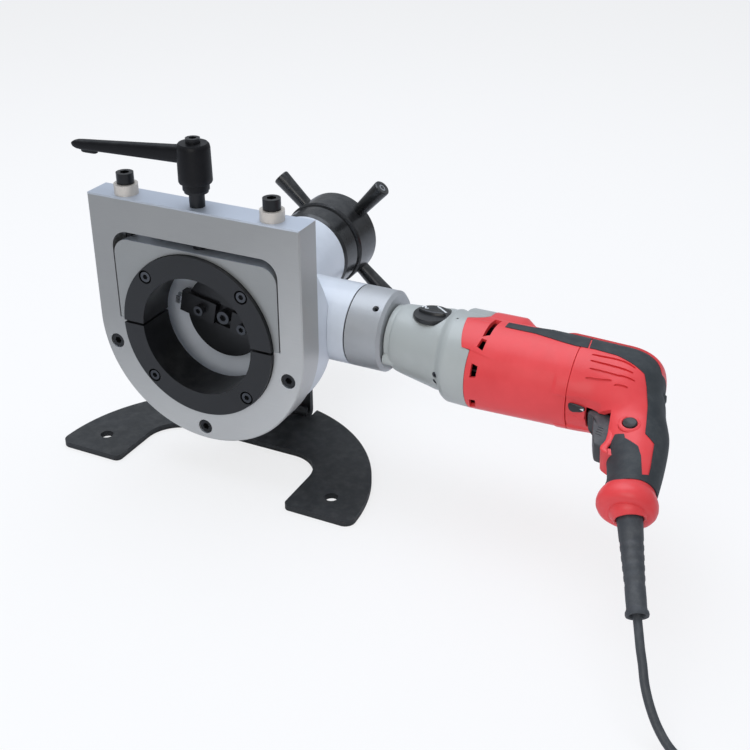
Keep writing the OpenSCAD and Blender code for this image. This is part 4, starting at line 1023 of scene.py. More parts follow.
@dataclass
class Cord(Maker):
    """The mains lead, its strain relief, plug and tie."""

    width: float = 7.0
    boot_root: tuple[float, float, float] = BOOT_ROOT
    boot_way: tuple[float, float, float] = BOOT_WAY
    boot_len: float = 90.0
    coil_centre: tuple[float, float] = (636.0, -112.0)
    coil_in: float = 30.0
    turns: float = 3.25
    layers: int = 4
    plug_turn: float = 150.0
    length: float = 0.0
    path: Array = field(default_factory=lambda: np.zeros((0, 3)))

    def __post_init__(self) -> None:
        """Work out the route: the fall from the boot, the coil, and the tail to the plug."""
        self.lie_z = FLOOR_Z + self.width / 2
        self.pitch = self.width + 0.5
        self.coil_out = self.coil_in + self.pitch * self.turns
        self.low = self.lie_z + 1.5
        self.high = self.low + (self.layers - 1) * self.pitch
        self.start_y = self.coil_centre[1] - self.coil_out
        turn = math.radians(self.plug_turn)
        self.plug_way = np.array([math.cos(turn), math.sin(turn), 0.0])
        self.plug_face = np.array([640.0, -35.0, FLOOR_Z + 13.3])
        self.path = np.concatenate([smooth_path(self.lead_points(), 6), self.coil_points()[1:-1],
                                    smooth_path(self.tail_points(), 6)])
        self.length = path_length(self.path)

    def lead_points(self) -> list[list[float]]:
        """Route points from inside the boot's mouth to the coil.

        Returns:
            Places in order.
        """
        way, root = np.array(self.boot_way), np.array(self.boot_root)
        z, y = self.lie_z, self.start_y
        return [*(root + d * way for d in (82.6, 88, 94)), [453, -121, -88], [457, -129, -95],
                [461, -135, -103], [466, -143, -114], [473, -151, -125], [482, -159, -135],
                [493, -166, -143], [506, -171, -147.5], [520, -174, z], [540, -175, z], [562, -174, z],
                [584, -171, z + 0.5], [602, -168, self.low], [614, y, self.low], [622, y, self.low],
                [self.coil_centre[0] - self.width, y, self.low]]

    def tail_points(self) -> list[list[float]]:
        """Route points from the coil's top to the plug.

        Returns:
            Places in order.
        """
        x, y, high, z = self.coil_centre[0] + self.width, self.start_y, self.high, self.lie_z
        back = -self.plug_way
        return [[x, y, high], [x + 6, y, high], [x + 12, y, high], [668, -165, high - 2],
                [682, -158, high - 6], [695, -143, high - 12], [702, -124, high - 19], [702, -103, z],
                [696, -83, z], [684, -66, z], [671, -53, z + 3], [663, -48, z + 6],
                self.plug_face + 16 * back, self.plug_face + 8 * back, self.plug_face]

    def coil_points(self) -> Array:
        """Points of the coil.

        The radius falls by one pitch a turn in even layers and grows in odd ones, and over half a turn
        round each reversal the height climbs one pitch.

        Returns:
            An (n, 3) array.
        """
        t = np.arange(int(24 * self.turns * self.layers) + 1) / 24
        layer = np.floor(t / self.turns)
        part = t - layer * self.turns
        radius = np.where(layer % 2 == 0, self.coil_out - self.pitch * part,
                          self.coil_in + self.pitch * part)
        near = np.round(t / self.turns)
        off = t - near * self.turns
        ease = np.clip((off + 0.25) * 2, 0, 1)
        climb = np.where(near < 1, 0, np.where(near > self.layers - 1, (self.layers - 1) * self.pitch,
                                               (near - 1) * self.pitch + self.pitch * ease))
        a = 2 * np.pi * t
        body = np.stack([self.coil_centre[0] + radius * np.sin(a),
                         self.coil_centre[1] - radius * np.cos(a), self.low + climb], -1)
        first = [self.coil_centre[0] - self.width, self.start_y, self.low]
        last = [self.coil_centre[0] + self.width, self.start_y, self.high]
        return np.concatenate([[first], body, [last]])

    def build(self) -> None:
        form = capped(sweep(self.path, circle(self.width / 2, 12)))
        cord = self.place("mains_lead", form, CORD, "cord", nodes=("cord_lead", "cord_coil", "cord_tail"))
        plug = self.plug()
        tie = self.tie()
        self.boot()
        LOG.info("cord of %.2f m", self.length * MM)

    def boot(self) -> None:
        """Strain relief: a soft sleeve that tapers, with shallow ribs and a flared hollow mouth."""
        n = self.boot_len
        outer = [(0.01, 8), (10.1, 8), (10.2, 12)]
        outer += [(10.2 - 0.042 * (h - 12) - (0.35 if rib else 0.0), h)
                  for h0 in range(30, 70, 8) for h, rib in ((h0, False), (h0 + 1, True), (h0 + 4, True),
                                                            (h0 + 5, False))]
        outer += [(7.9, 76), (7.75, n - 7), (8.0, n - 5), (8.9, n - 3.5), (9.1, n - 1.5), (8.7, n - 0.2),
                  (7.6, n), (6.4, n - 0.8), (5.6, n - 3), (5.2, n - 8), (4.0, n - 14), (0.01, n - 14)]
        self.place("strain_relief", turned(outer, 48, self.boot_root, self.boot_way), CORD, "cord",
                   nodes=("cord_boot",), sharp=50)

    def plug(self) -> bpy.types.Object:
        """Round moulded plug with a ribbed neck and two pins, joined into one mesh.

        Returns:
            The plug.
        """
        body = [(0.01, 0), (4.8, 0), (5.2, 2), (4.9, 3.5), (5.6, 5.5), (5.3, 7), (6.4, 9), (9.5, 11.5),
                (12.2, 14.5), (13.1, 19), (13.2, 24), (12.7, 26), (13.1, 28), (12.7, 30), (13.1, 32),
                (13.2, 38), (12.4, 41), (11.4, 42), (0.01, 42)]
        parts = [turned(body, 48, self.plug_face, self.plug_way)]
        side = unit(np.cross([0, 0, 1], self.plug_way))
        pin = [(0.01, 41), (2.4, 41), (2.4, 58), (1.9, 60.3), (0.9, 61), (0.01, 61)]
        parts += [turned(pin, 24, self.plug_face + s * 9 * side, self.plug_way) for s in (-1, 1)]
        plug = self.place("mains_plug", joined(parts), CORD, "cord", nodes=("cord_plug",))
        plug.data.materials.append(self.paint.get(STEEL))
        use = np.zeros(len(plug.data.polygons), np.int32)
        use[len(parts[0][1]):] = 1
        plug.data.polygons.foreach_set("material_index", use)
        return plug

    def tie(self) -> bpy.types.Object:
        """Strap round the coil's section: a rounded loop whose profile is a thin flat bar.

        Returns:
            The strap.
        """
        low, high = FLOOR_Z + 0.6, self.high + self.width / 2 + 0.9
        inside = self.coil_in - self.width / 2 - 0.9 - self.pitch / 4
        outside = self.coil_out + self.width / 2 + 0.9 + self.pitch / 4
        turn = math.radians(225)
        way = np.array([math.cos(turn), math.sin(turn), 0.0])
        centre = np.array([*self.coil_centre, 0.0])
        r = 2.0
        corners = [(outside - r, low + r, -90), (outside - r, high - r, 0), (inside + r, high - r, 90),
                   (inside + r, low + r, 180)]
        loop = []
        for x, z, a0 in corners:
            a = np.radians(a0 + np.linspace(0, 90, 6))
            loop.append(np.stack([x + r * np.cos(a), z + r * np.sin(a)], -1))
        line = np.concatenate(loop)
        out = unit(np.roll(line, -1, 0) - np.roll(line, 1, 0)) @ np.array([[0, -1], [1, 0]])
        flat = way * line[:, :1] + np.array([0, 0, 1.0]) * line[:, 1:]
        normal = way * out[:, :1] + np.array([0, 0, 1.0]) * out[:, 1:]
        across = np.cross(way, [0, 0, 1.0])
        bar = [(-6, -0.45), (6, -0.45), (6, 0.45), (-6, 0.45)]
        rings = np.stack([centre + flat + a * across + b * normal for a, b in bar], 1)
        rings = np.concatenate([rings, rings[:1]])
        faces = grid_faces(len(rings), 4).tolist()
        tie = self.place("cord_strap", (rings.reshape(-1, 3), faces), SEAL, "seal", nodes=("cord_tie",))
        outward(tie, 0.01)
        return tie


# ---------------------------------------------------------------- the drill's frame and solid tools

ROLL = math.radians(75.0)
DRIVE_BACK = 87.0
KNOB_AXIS = (201.0, 75.0)
# how far the case and the barrel stand off the edge that they meet at
SEAM_GAP = 0.25
# side view of the trigger's opening as (x, s)
TRIGGER_ROOM = ((361, 40), (392, 40), (412, 62), (412, 91.3), (357.8, 91.3), (357.8, 54))
TRIGGER_HALF = 11.2
# two drill places on the lock button's axis
BUTTON_LINE = ((399.5, 0.0, 67.0), (399.5, -1.0, 67.0))


def from_drill(points: Array) -> Array:
    """Turn drill places (x, y, s), s down from the spindle towards the handle, into the shared frame.

    Y = 87 + y cos 75 - s sin 75 and Z = -y sin 75 - s cos 75.

    Args:
        points: An array of places, its last axis (x, y, s).

    Returns:
        The same places as (X, Y, Z).
    """
    x, y, s = points[..., 0], points[..., 1], points[..., 2]
    return np.stack([x, DRIVE_BACK + y * math.cos(ROLL) - s * math.sin(ROLL),
                     -y * math.sin(ROLL) - s * math.cos(ROLL)], -1)


def drill_line(start: Sequence[float], end: Sequence[float]) -> tuple[Array, Array]:
    """Start and direction in the shared frame of the line between two drill places."""
    ends = from_drill(np.array([start, end], float))
    return ends[0], ends[1] - ends[0]


def polar(x: Array | float, v: Array, radius: Array | float, centre: Array | float, flip: int = 1) -> Array:
    """Drill places (x, -radius cos v, centre + radius sin v), v in degrees, mirrored where flip is -1."""
    a = np.radians(v)
    return np.stack(np.broadcast_arrays(x, -flip * radius * np.cos(a), centre + radius * np.sin(a)), -1)


def backed(section: Sequence[tuple[float, float]], stations: Sequence[tuple[float, float]],
           taper: float) -> Form:
    """Carry a section of (y, s) along the drill, sunk at each (x, sink) and narrowed by sink / taper.

    Args:
        section: Outline of (y, s).
        stations: Pairs of x and sink.
        taper: Sink at which the width is gone.

    Returns:
        The closed form.
    """
    line = np.array(section, float)
    rows = [np.stack([0 * line[:, 0] + x, line[:, 0] * (1 - sink / taper), line[:, 1] + sink], -1)
            for x, sink in stations]
    return capped(from_drill(np.stack(rows)))


def ring_faces(rows: int, cols: int) -> Array:
    """Corner indices of a grid that closes both ways.

    Args:
        rows: Rows of the grid.
        cols: Columns of the grid.

    Returns:
        An (n, 4) array.
    """
    i, k = np.meshgrid(np.arange(rows), np.arange(cols), indexing="ij")
    down, beside = (i + 1) % rows, (k + 1) % cols
    return np.stack([i * cols + k, i * cols + beside, down * cols + beside, down * cols + k],
                    -1).reshape(-1, 4)


def slab(outer: Array, inner: Array) -> Form:
    """Close the space between two grids of the same size, outer seen from outside.

    Args:
        outer: An (m, n, 3) array.
        inner: Another of the same shape.

    Returns:
        The closed form.
    """
    m, n, _ = outer.shape
    top = grid_faces(m, n, closed=False)
    low = grid_faces(m, n, closed=False, start=m * n)[:, ::-1]
    edge = np.concatenate([np.arange(n), np.arange(1, m) * n + n - 1,
                           (m - 1) * n + np.arange(n - 2, -1, -1), np.arange(m - 2, 0, -1) * n])
    after = np.roll(edge, -1)
    side = np.stack([edge, edge + m * n, after + m * n, after], -1)
    points = np.concatenate([outer.reshape(-1, 3), inner.reshape(-1, 3)])
    return points, np.concatenate([top, low, side]).tolist()


def prism(outline: Sequence[tuple[float, float]], low: float, high: float) -> Form:
    """Carry a side-view outline of (x, s) across the drill from y = low to y = high.

    Args:
        outline: Places of (x, s) in order.
        low: Lowest y.
        high: Highest y.

    Returns:
        The closed form.
    """
    xs = np.array(outline, float)
    n = len(xs)
    points = np.concatenate([np.insert(xs, 1, low, axis=1), np.insert(xs, 1, high, axis=1)])
    faces = [[i, (i + 1) % n, (i + 1) % n + n, i + n] for i in range(n)]
    return from_drill(points), faces + [list(range(n))[::-1], list(range(n, 2 * n))]


def turned_loop(loop: Sequence[tuple[float, float]], count: int, origin: Sequence[float],
                way: Sequence[float]) -> Form:
    """Turn a closed loop of (radius, height) about an axis into a ring."""
    return aimed(spun(loop, count), origin, way).reshape(-1, 3), ring_faces(len(loop), count)


# ---------------------------------------------------------------- the drill's body


@dataclass
class DrillForm:
    """The drill's outside behind its gear case: a motor barrel that runs over into a pistol grip.

    A place is named by u, the length along a spine that runs along the motor's axis, bends down through
    a quarter circle and follows the grip, and v, the angle round it in degrees: 0 on the left, -90 on
    the back and 90 on the trigger's side.
    """

    seam: float = 340.5
    drop: float = 15.0
    bend_x: float = 368.0
    bend_s: float = 62.0
    front_r: float = 41.5
    rear_r: float = 39.6
    # where the barrel starts to round off, the length of that, and the flat end behind it
    round_x: float = 372.0
    round_len: float = 40.3
    back_x: float = 412.3
    # how far the barrel and the grip run over into each other
    union: float = 10.0
    # down the grip: s, centre x, fore and side radii
    stations: tuple[tuple[float, float, float, float], ...] = (
        (2, 366, 38, 31), (18, 376, 38, 31), (36, 384.8, 35.3, 30), (60, 400.2, 28.7, 21),
        (85, 409.2, 23.7, 19.5), (105, 414.2, 20.7, 20), (120, 416.3, 19.4, 20.2), (160, 416.3, 19.4, 20.2))

    def __post_init__(self) -> None:
        """Make the curves of the grip's stations."""
        s, cx, fore, side = np.array(self.stations).T
        self.grip_x, self.fore, self.side = through(s, cx), through(s, fore), through(s, side)
        self.bend_r = self.bend_s - self.drop
        self.run = self.bend_x - self.seam
        self.arc = self.bend_r * math.pi / 2

    def level(self, p: Array) -> Array:
        """Height above the surface: a smooth union of the barrel and the grip, below zero inside.

        Barrel: radius R (1 - t^2.4)^(1/2.4), with t running from 0 to 1 over its rounded end. Grip: ovals.
        The union is b + (a - b) h - k h (1 - h), with h = 0.5 + 0.5 (b - a) / k held between 0 and 1.

        Args:
            p: Drill places, the last axis (x, y, s).

        Returns:
            Heights in millimetres.
        """
        x, y, s = p[..., 0], p[..., 1], p[..., 2]
        t = np.clip((x - self.round_x) / self.round_len, 0, 1)
        radius = (self.rear_r + (self.front_r - self.rear_r) * np.clip((self.seam - x) / 92.5, 0, 1.2)
                  - np.clip((x - self.seam) / 32, 0, 1)) * (1 - t**2.4) ** (1 / 2.4)
        a = np.hypot(y, s - self.drop + 5 * t**3) - radius
        a = np.where(x > self.back_x, np.maximum(a, x - self.back_x), a)
        fore, side = self.fore(s), self.side(s)
        b = (np.hypot((x - self.grip_x(s)) / fore, y / side) - 1) * np.minimum(fore, side)
        b = np.maximum(b, 2 - s)
        k = self.union
        h = np.clip(0.5 + 0.5 * (b - a) / k, 0, 1)
        return b + (a - b) * h - k * h * (1 - h)

    def spine(self, u: Array) -> tuple[Array, Array, Array]:
        """Place (x, s) and slope of the spine at lengths u.

        Args:
            u: Lengths along the spine.

        Returns:
            x, s and the slope in radians.
        """
        slope = np.clip((u - self.run) / self.bend_r, 0, math.pi / 2)
        x = np.where(u < self.run, self.seam + u, self.bend_x + self.bend_r * np.sin(slope))
        s = np.where(u < self.run, self.drop, self.bend_s - self.bend_r * np.cos(slope))
        return x, np.where(u > self.run + self.arc, self.bend_s + u - self.run - self.arc, s), slope

    def at(self, u: Array, v: Array, lift: Array | float = 0.0) -> Array:
        """Points of the surface lifted by some millimetres, found by steps and halving along rays.

        The ray from the spine runs along cos v (-y) - sin v (outward).

        Args:
            u: Lengths along the spine.
            v: Angles round it in degrees.
            lift: Height over the surface.

        Returns:
            Drill places, the last axis (x, y, s).
        """
        u, v, lift = np.broadcast_arrays(np.asarray(u, float), np.radians(v), lift)
        x, s, slope = self.spine(u)
        base = np.stack([x, 0 * x, s], -1)
        way = np.stack([-np.sin(v) * np.sin(slope), -np.cos(v), np.sin(v) * np.cos(slope)], -1)
        far = np.full(u.shape, 90.0)
        near = np.zeros(u.shape)
        open_ = np.ones(u.shape, bool)
        for t in np.arange(1, 91):
            hit = open_ & (self.level(base + way * t) > lift)
            near, far = np.where(hit, t - 1, near), np.where(hit, t, far)
            open_ &= ~hit
        for _ in range(12):
            mid = (near + far) / 2
            out = self.level(base + way * mid[..., None]) > lift
            far, near = np.where(out, mid, far), np.where(out, near, mid)
        return base + way * ((near + far) / 2)[..., None]


MOTOR_EDGE = through([-90, -33, -27, -21.3, -12.4, -11.2, 32.8, 33.6, 59, 90],
                     [250.4, 250.4, 249.5, 245.6, 236.2, 236.3, 243.2, 250.6, 250, 249.8])


def both_sides(v: Array) -> Array:
    """Fold an angle round the drill onto its left side, between -90 and 90."""
    v = (v + 180) % 360 - 180
    return np.where(v > 90, 180 - v, np.where(v < -90, -180 - v, v))


def step(x: Array, low: float, high: float) -> Array:
    """Smooth step from 0 at low to 1 at high."""
    t = np.clip((x - low) / (high - low), 0, 1)
    return t * t * (3 - 2 * t)


class GearCase(Maker):
    """The drill's grey gear case, with its shoulder, boss, lugs, and hollow for the speed knob."""

    # length along the drill and angle of the side screws
    SCREW = (219.6, 84)
    LUG_ANGLES = (100, 160, 220)
    LUG_CIRCLE = 31

    def surface(self, x: Array, v: Array) -> Array:
        """Points at length x and angle v: centre and radius follow curves, less a shallow dish.

        Args:
            x: Lengths along the drill.
            v: Angles in degrees.

        Returns:
            Drill places.
        """
        xs = [161.2, 162, 167, 168.4, 171, 190, 206, 214, 218, 221, 224, 229, 252]
        centre = through(xs, [3, 3, 3.4, 4.2, 4.8, 6.8, 8, 8.6, 9.4, 10.2, 11.8, 14, 15])
        radius = through(xs, [27, 28.2, 28.4, 30.6, 31.4, 34, 36.2, 37.6, 38, 39.5, 40.9, 41.5, 41.5])
        side = both_sides(v)
        dish = 0.9 * np.exp(-((x - 218.5) / 3.6) ** 2) * step(side, 28, 42) * (1 - step(side, 78, 90))
        return polar(x, v, radius(x) - dish, centre(x))

    def build(self) -> None:
        """Make the hollow case with its holes, then its boss with the front lugs, and its side screws."""
        v = np.arange(0, 360, 1.5)
        edge = MOTOR_EDGE(both_sides(v)) - SEAM_GAP
        front = np.concatenate([[161.2, 162, 163.5, 165.5, 167, 167.7, 168.4, 169.4, 171],
                                np.arange(173, 214, 2.5), np.arange(214, 227.5, 0.9)])
        rest = 227.5 + np.linspace(0, 1, 20)[:, None] * (edge - 227.5)
        x = np.concatenate([np.repeat(front[:, None], len(v), 1), rest])
        skin = self.surface(x, np.broadcast_to(v, x.shape))
        inner = [polar(xx, v, r, c) for xx, r, c in (
            (edge, 39.2, 15), (edge, 37.6, 15), (232, 37.4, 15), (226, 20, 12), (214, 18, 6), (190, 18, 3),
            (186, 9, 1), (161.2, 8.7, 0))]
        rings = np.concatenate([skin, np.stack(inner)])
        deep = [(0.01, 28.6), (17.5, 28.6), (17.5, 60), (0.01, 60)]
        stem = [(0.01, 18.6), (7.1, 18.6), (7.1, 32), (0.01, 32)]
        holes = [capped(spun(p, 64) + [*KNOB_AXIS, 0.0]) for p in (deep, stem)]
        for side in (-1, 1):
            holes.append(self.radial(*self.SCREW, side, [(0.01, 35), (3.1, 35), (3.1, 44), (0.01, 44)]))
            holes.append(self.radial(228.6, 0, side, [(0.01, 38.5), (1.1, 38.5), (1.1, 44), (0.01, 44)]))
        form = from_drill(rings.reshape(-1, 3)), ring_faces(len(rings), len(v))
        self.place("gear_case_shell", form, CASE, "case_grey", nodes=("gear_case",), cuts=holes)
        lug = [(0.01, 0), (5.6, 0), (6, 0.5), (6, 10), (5.4, 12.5), (3.6, 14.2), (0.01, 14.8)]
        parts = [self.boss()]
        parts += [turned(lug, 32, from_drill(polar(161.6, angle, self.LUG_CIRCLE, 0.0)), (1, 0, 0))
                  for angle in self.LUG_ANGLES]
        self.place("gear_case_boss", joined(parts), CASE, "case_grey")
        self.screws()
        LOG.info("gear case")

    def radial(self, x: float, v: float, side: int, profile: Sequence[tuple[float, float]]) -> Form:
        """Stand a turned profile of (radius, distance from the axis) on the case at x and angle v.

        Args:
            x: Length along the drill.
            v: Angle in degrees.
            side: -1 for the left side and 1 for the right.
            profile: Places of (radius, distance).

        Returns:
            The closed form.
        """
        a = math.radians(v if side < 0 else 180 - v)
        way = np.array([0.0, -math.cos(a), math.sin(a)])
        base = np.array([x, 0.0, 9.8])
        return turned(profile, 32, *drill_line(base, base + way), (1, 0, 0))

    def boss(self) -> Form:
        """The grey boss on the case's back: a rounded section carried along x, its front end bevelled.

        Returns:
            The closed form.
        """
        section = ((-32, -10), (-27, -22), (-22.6, -29), (-20.5, -30.6), (-18, -31), (18, -31), (20.5, -30.6),
                   (22.6, -29), (27, -22), (32, -10), (12, -8), (-12, -8))
        return backed(section, ((226.2, 2.2), (227.4, 0.6), (229.2, 0), (249.4, 0), (250.2, 0.5)), 60)

    def screws(self) -> None:
        """Recessed side screws of the case."""
        head = [(0.01, 35.2), (2.8, 35.2), (2.8, 37), (2.3, 37.5), (1.5, 37.5), (1.3, 36.2), (0.01, 36)]
        form = joined([self.radial(*self.SCREW, side, head) for side in (-1, 1)])
        self.place("case_side_screws", form, GREY_SCREW, "grey_screw")


class SpeedKnob(Maker):
    """The black gear knob: a disc with a grip bar and two white figures."""

    def build(self) -> None:
        """Make the knob and its figures, standing upright on its axis."""
        place = np.array([*KNOB_AXIS, 34.0])
        disc = [(0.01, -15), (6.9, -15), (6.9, -5), (16.4, -5), (16.9, -4.4), (17, -3.4), (17, -1.6),
                (16.5, -0.9), (0.01, -0.9)]
        n = 40
        a = np.linspace(0, 2 * np.pi, n, endpoint=False)
        rows = []
        for grow, z in ((0.9, -1.6), (0.35, -0.2), (0, 0.8), (-0.35, 1.3), (-1.0, 1.6)):
            x = (12.6 + grow) * np.cos(a)
            y = (3.4 + grow) * np.sin(a) * (1 - 0.25 * np.cos(a) ** 2)
            rows.append(np.stack([x, y, 0 * x + z], -1))
        parts = [capped(spun(disc, 72) + place), capped(np.stack(rows) + place)]
        self.place("gear_knob", joined(parts), BLACK_PLASTIC, "black_plastic", "speed_knob", ("speed_knob",))
        self.figures(place)
        LOG.info("speed knob")

    def figures(self, place: Array) -> None:
        """The white 2 and 1 as flat strokes on the disc's rim.

        Args:
            place: Where the knob's axis meets the case.
        """
        two = np.array([(-1.3, 1.2), (-0.8, 1.9), (0.3, 2.1), (1.2, 1.5), (1.1, 0.6), (0.1, -0.5),
                        (-1.4, -1.9), (1.5, -1.9)]) * 1.35
        turn = math.radians(53)
        lay = np.array([[math.cos(turn), math.sin(turn)], [-math.sin(turn), math.cos(turn)]])
        parts = []
        for line in (two @ lay + [-10.3, 7.9], np.array([(-1.0, 14.8), (5.2, 10.4), (11.2, 5.8)])):
            ahead = unit(np.gradient(line, axis=0))
            side = np.stack([-ahead[:, 1], ahead[:, 0]], -1) * 0.8
            rims = [line + k * side for k in (1, -1)]
            top = np.stack([np.insert(r, 2, -0.6, axis=1) for r in rims], 1) + place
            parts.append(slab(top, top - [0, 0, 0.5]))
        self.place("knob_figures", joined(parts), MARK, "black_plastic", "speed_knob")


@dataclass
class MotorHousing(Maker):
    """The red motor barrel with its forward wings, cooling slots and top ridge."""

    SLOTS = (((259, -26.3), (265.3, -24.9), (263.6, 9.9), (257.9, 14.4)),
             ((258.1, 16.6), (263, 17.4), (262, 31.7), (256.1, 28.4)),
             ((255.3, 49), (261.1, 51.2), (260.5, 65.2), (255.1, 66.9)),
             ((254.3, 100.3), (260, 99.7), (258.5, 117), (252.4, 122)))

    form: DrillForm

    def radius(self, x: Array, v: Array) -> Array:
        """Outer radius: a slight cone, the pad behind each wing, and a swelling by the lever.

        Args:
            x: Lengths along the drill.
            v: Angles in degrees.

        Returns:
            Radii in millimetres.
        """
        side = both_sides(v)
        base = 41.5 - 1.9 * np.clip((x - 248) / 92.5, 0, 1)
        low = 33.6 + 0.28 * np.clip(x - 250, 0, 30)
        pad = 0.75 * (1 - step(x, 254, 278)) * (1 - step(side - low, -0.8, 0.8)) * step(side, -16, -12)
        swell = 0.7 * step(x, 327.5, 330.5) * step(side, 34, 52) * (1 - step(side, 63.5, 65.5))
        return base + pad + swell

    def build(self) -> None:
        """Make the housing."""
        v = np.concatenate([np.arange(-90, -36, 2.0), np.arange(-36, 76, 0.8), np.arange(76, 104, 2.0)])
        v = np.concatenate([v, np.sort(180 - v[(v > -76) & (v < 76)])])
        v = np.unique(np.round(v, 3))
        edge = MOTOR_EDGE(both_sides(v))
        rear = self.form.seam - SEAM_GAP
        t = np.concatenate([np.linspace(0.004, 0.32, 36), np.linspace(0.34, 0.84, 22),
                            np.linspace(0.85, 0.998, 16)])[:, None]
        x = np.concatenate([edge[None], edge[None], edge + t * (rear - edge), np.full((1, len(v)), rear),
                            np.full((1, len(v)), rear), edge[None]])
        r = self.radius(x, np.broadcast_to(v, x.shape))
        r[0] -= 1.9
        r[1] -= 0.3
        r[-3] -= 0.4
        r[-2:] = 37.5
        rings = polar(x, v, r, self.form.drop)
        slots = [self.slot(places, mirror) for places in self.SLOTS[:2] for mirror in (False, True)]
        slots += [self.slot(places, False) for places in self.SLOTS[2:]]
        form = from_drill(rings.reshape(-1, 3)), ring_faces(*x.shape)
        self.place("motor_barrel", form, RED, "red_shell", nodes=("motor_housing",), cuts=slots)
        self.ridge()
        LOG.info("motor housing")

    def slot(self, places: Sequence[tuple[float, float]], mirror: bool) -> Form:
        """Cutter for a slot with four corners of (x, v): its sides run between them, bent to the barrel.

        Args:
            places: The four corners.
            mirror: Whether it lies on the right side.

        Returns:
            The closed form.
        """
        (x0, v0), (x1, v1), (x2, v2), (x3, v3) = places
        t = np.linspace(0, 1, 12)[:, None]
        x = np.concatenate([x0 + (x3 - x0) * t, x1 + (x2 - x1) * t], 1)
        v = np.concatenate([v0 + (v3 - v0) * t, v1 + (v2 - v1) * t], 1)
        return slab(*(from_drill(polar(x, v, r, self.form.drop, -1 if mirror else 1)) for r in (45.0, 35.0)))

    def ridge(self) -> None:
        """The red ridge on the back, which runs on from the case's boss and slopes down at its end."""
        section = ((-34, -8), (-28, -22), (-23.4, -28.6), (-21, -30.4), (-18, -31), (18, -31), (21, -30.4),
                   (23.4, -28.6), (28, -22), (34, -8), (12, -6), (-12, -6))
        stations = ((250.8, 0.8), (251.4, 0.1), (262, 0), (279, 0), (281, 0.6), (290, 6.4), (300, 8.5))
        self.place("motor_ridge", backed(section, stations, 40), RED, "red_shell")


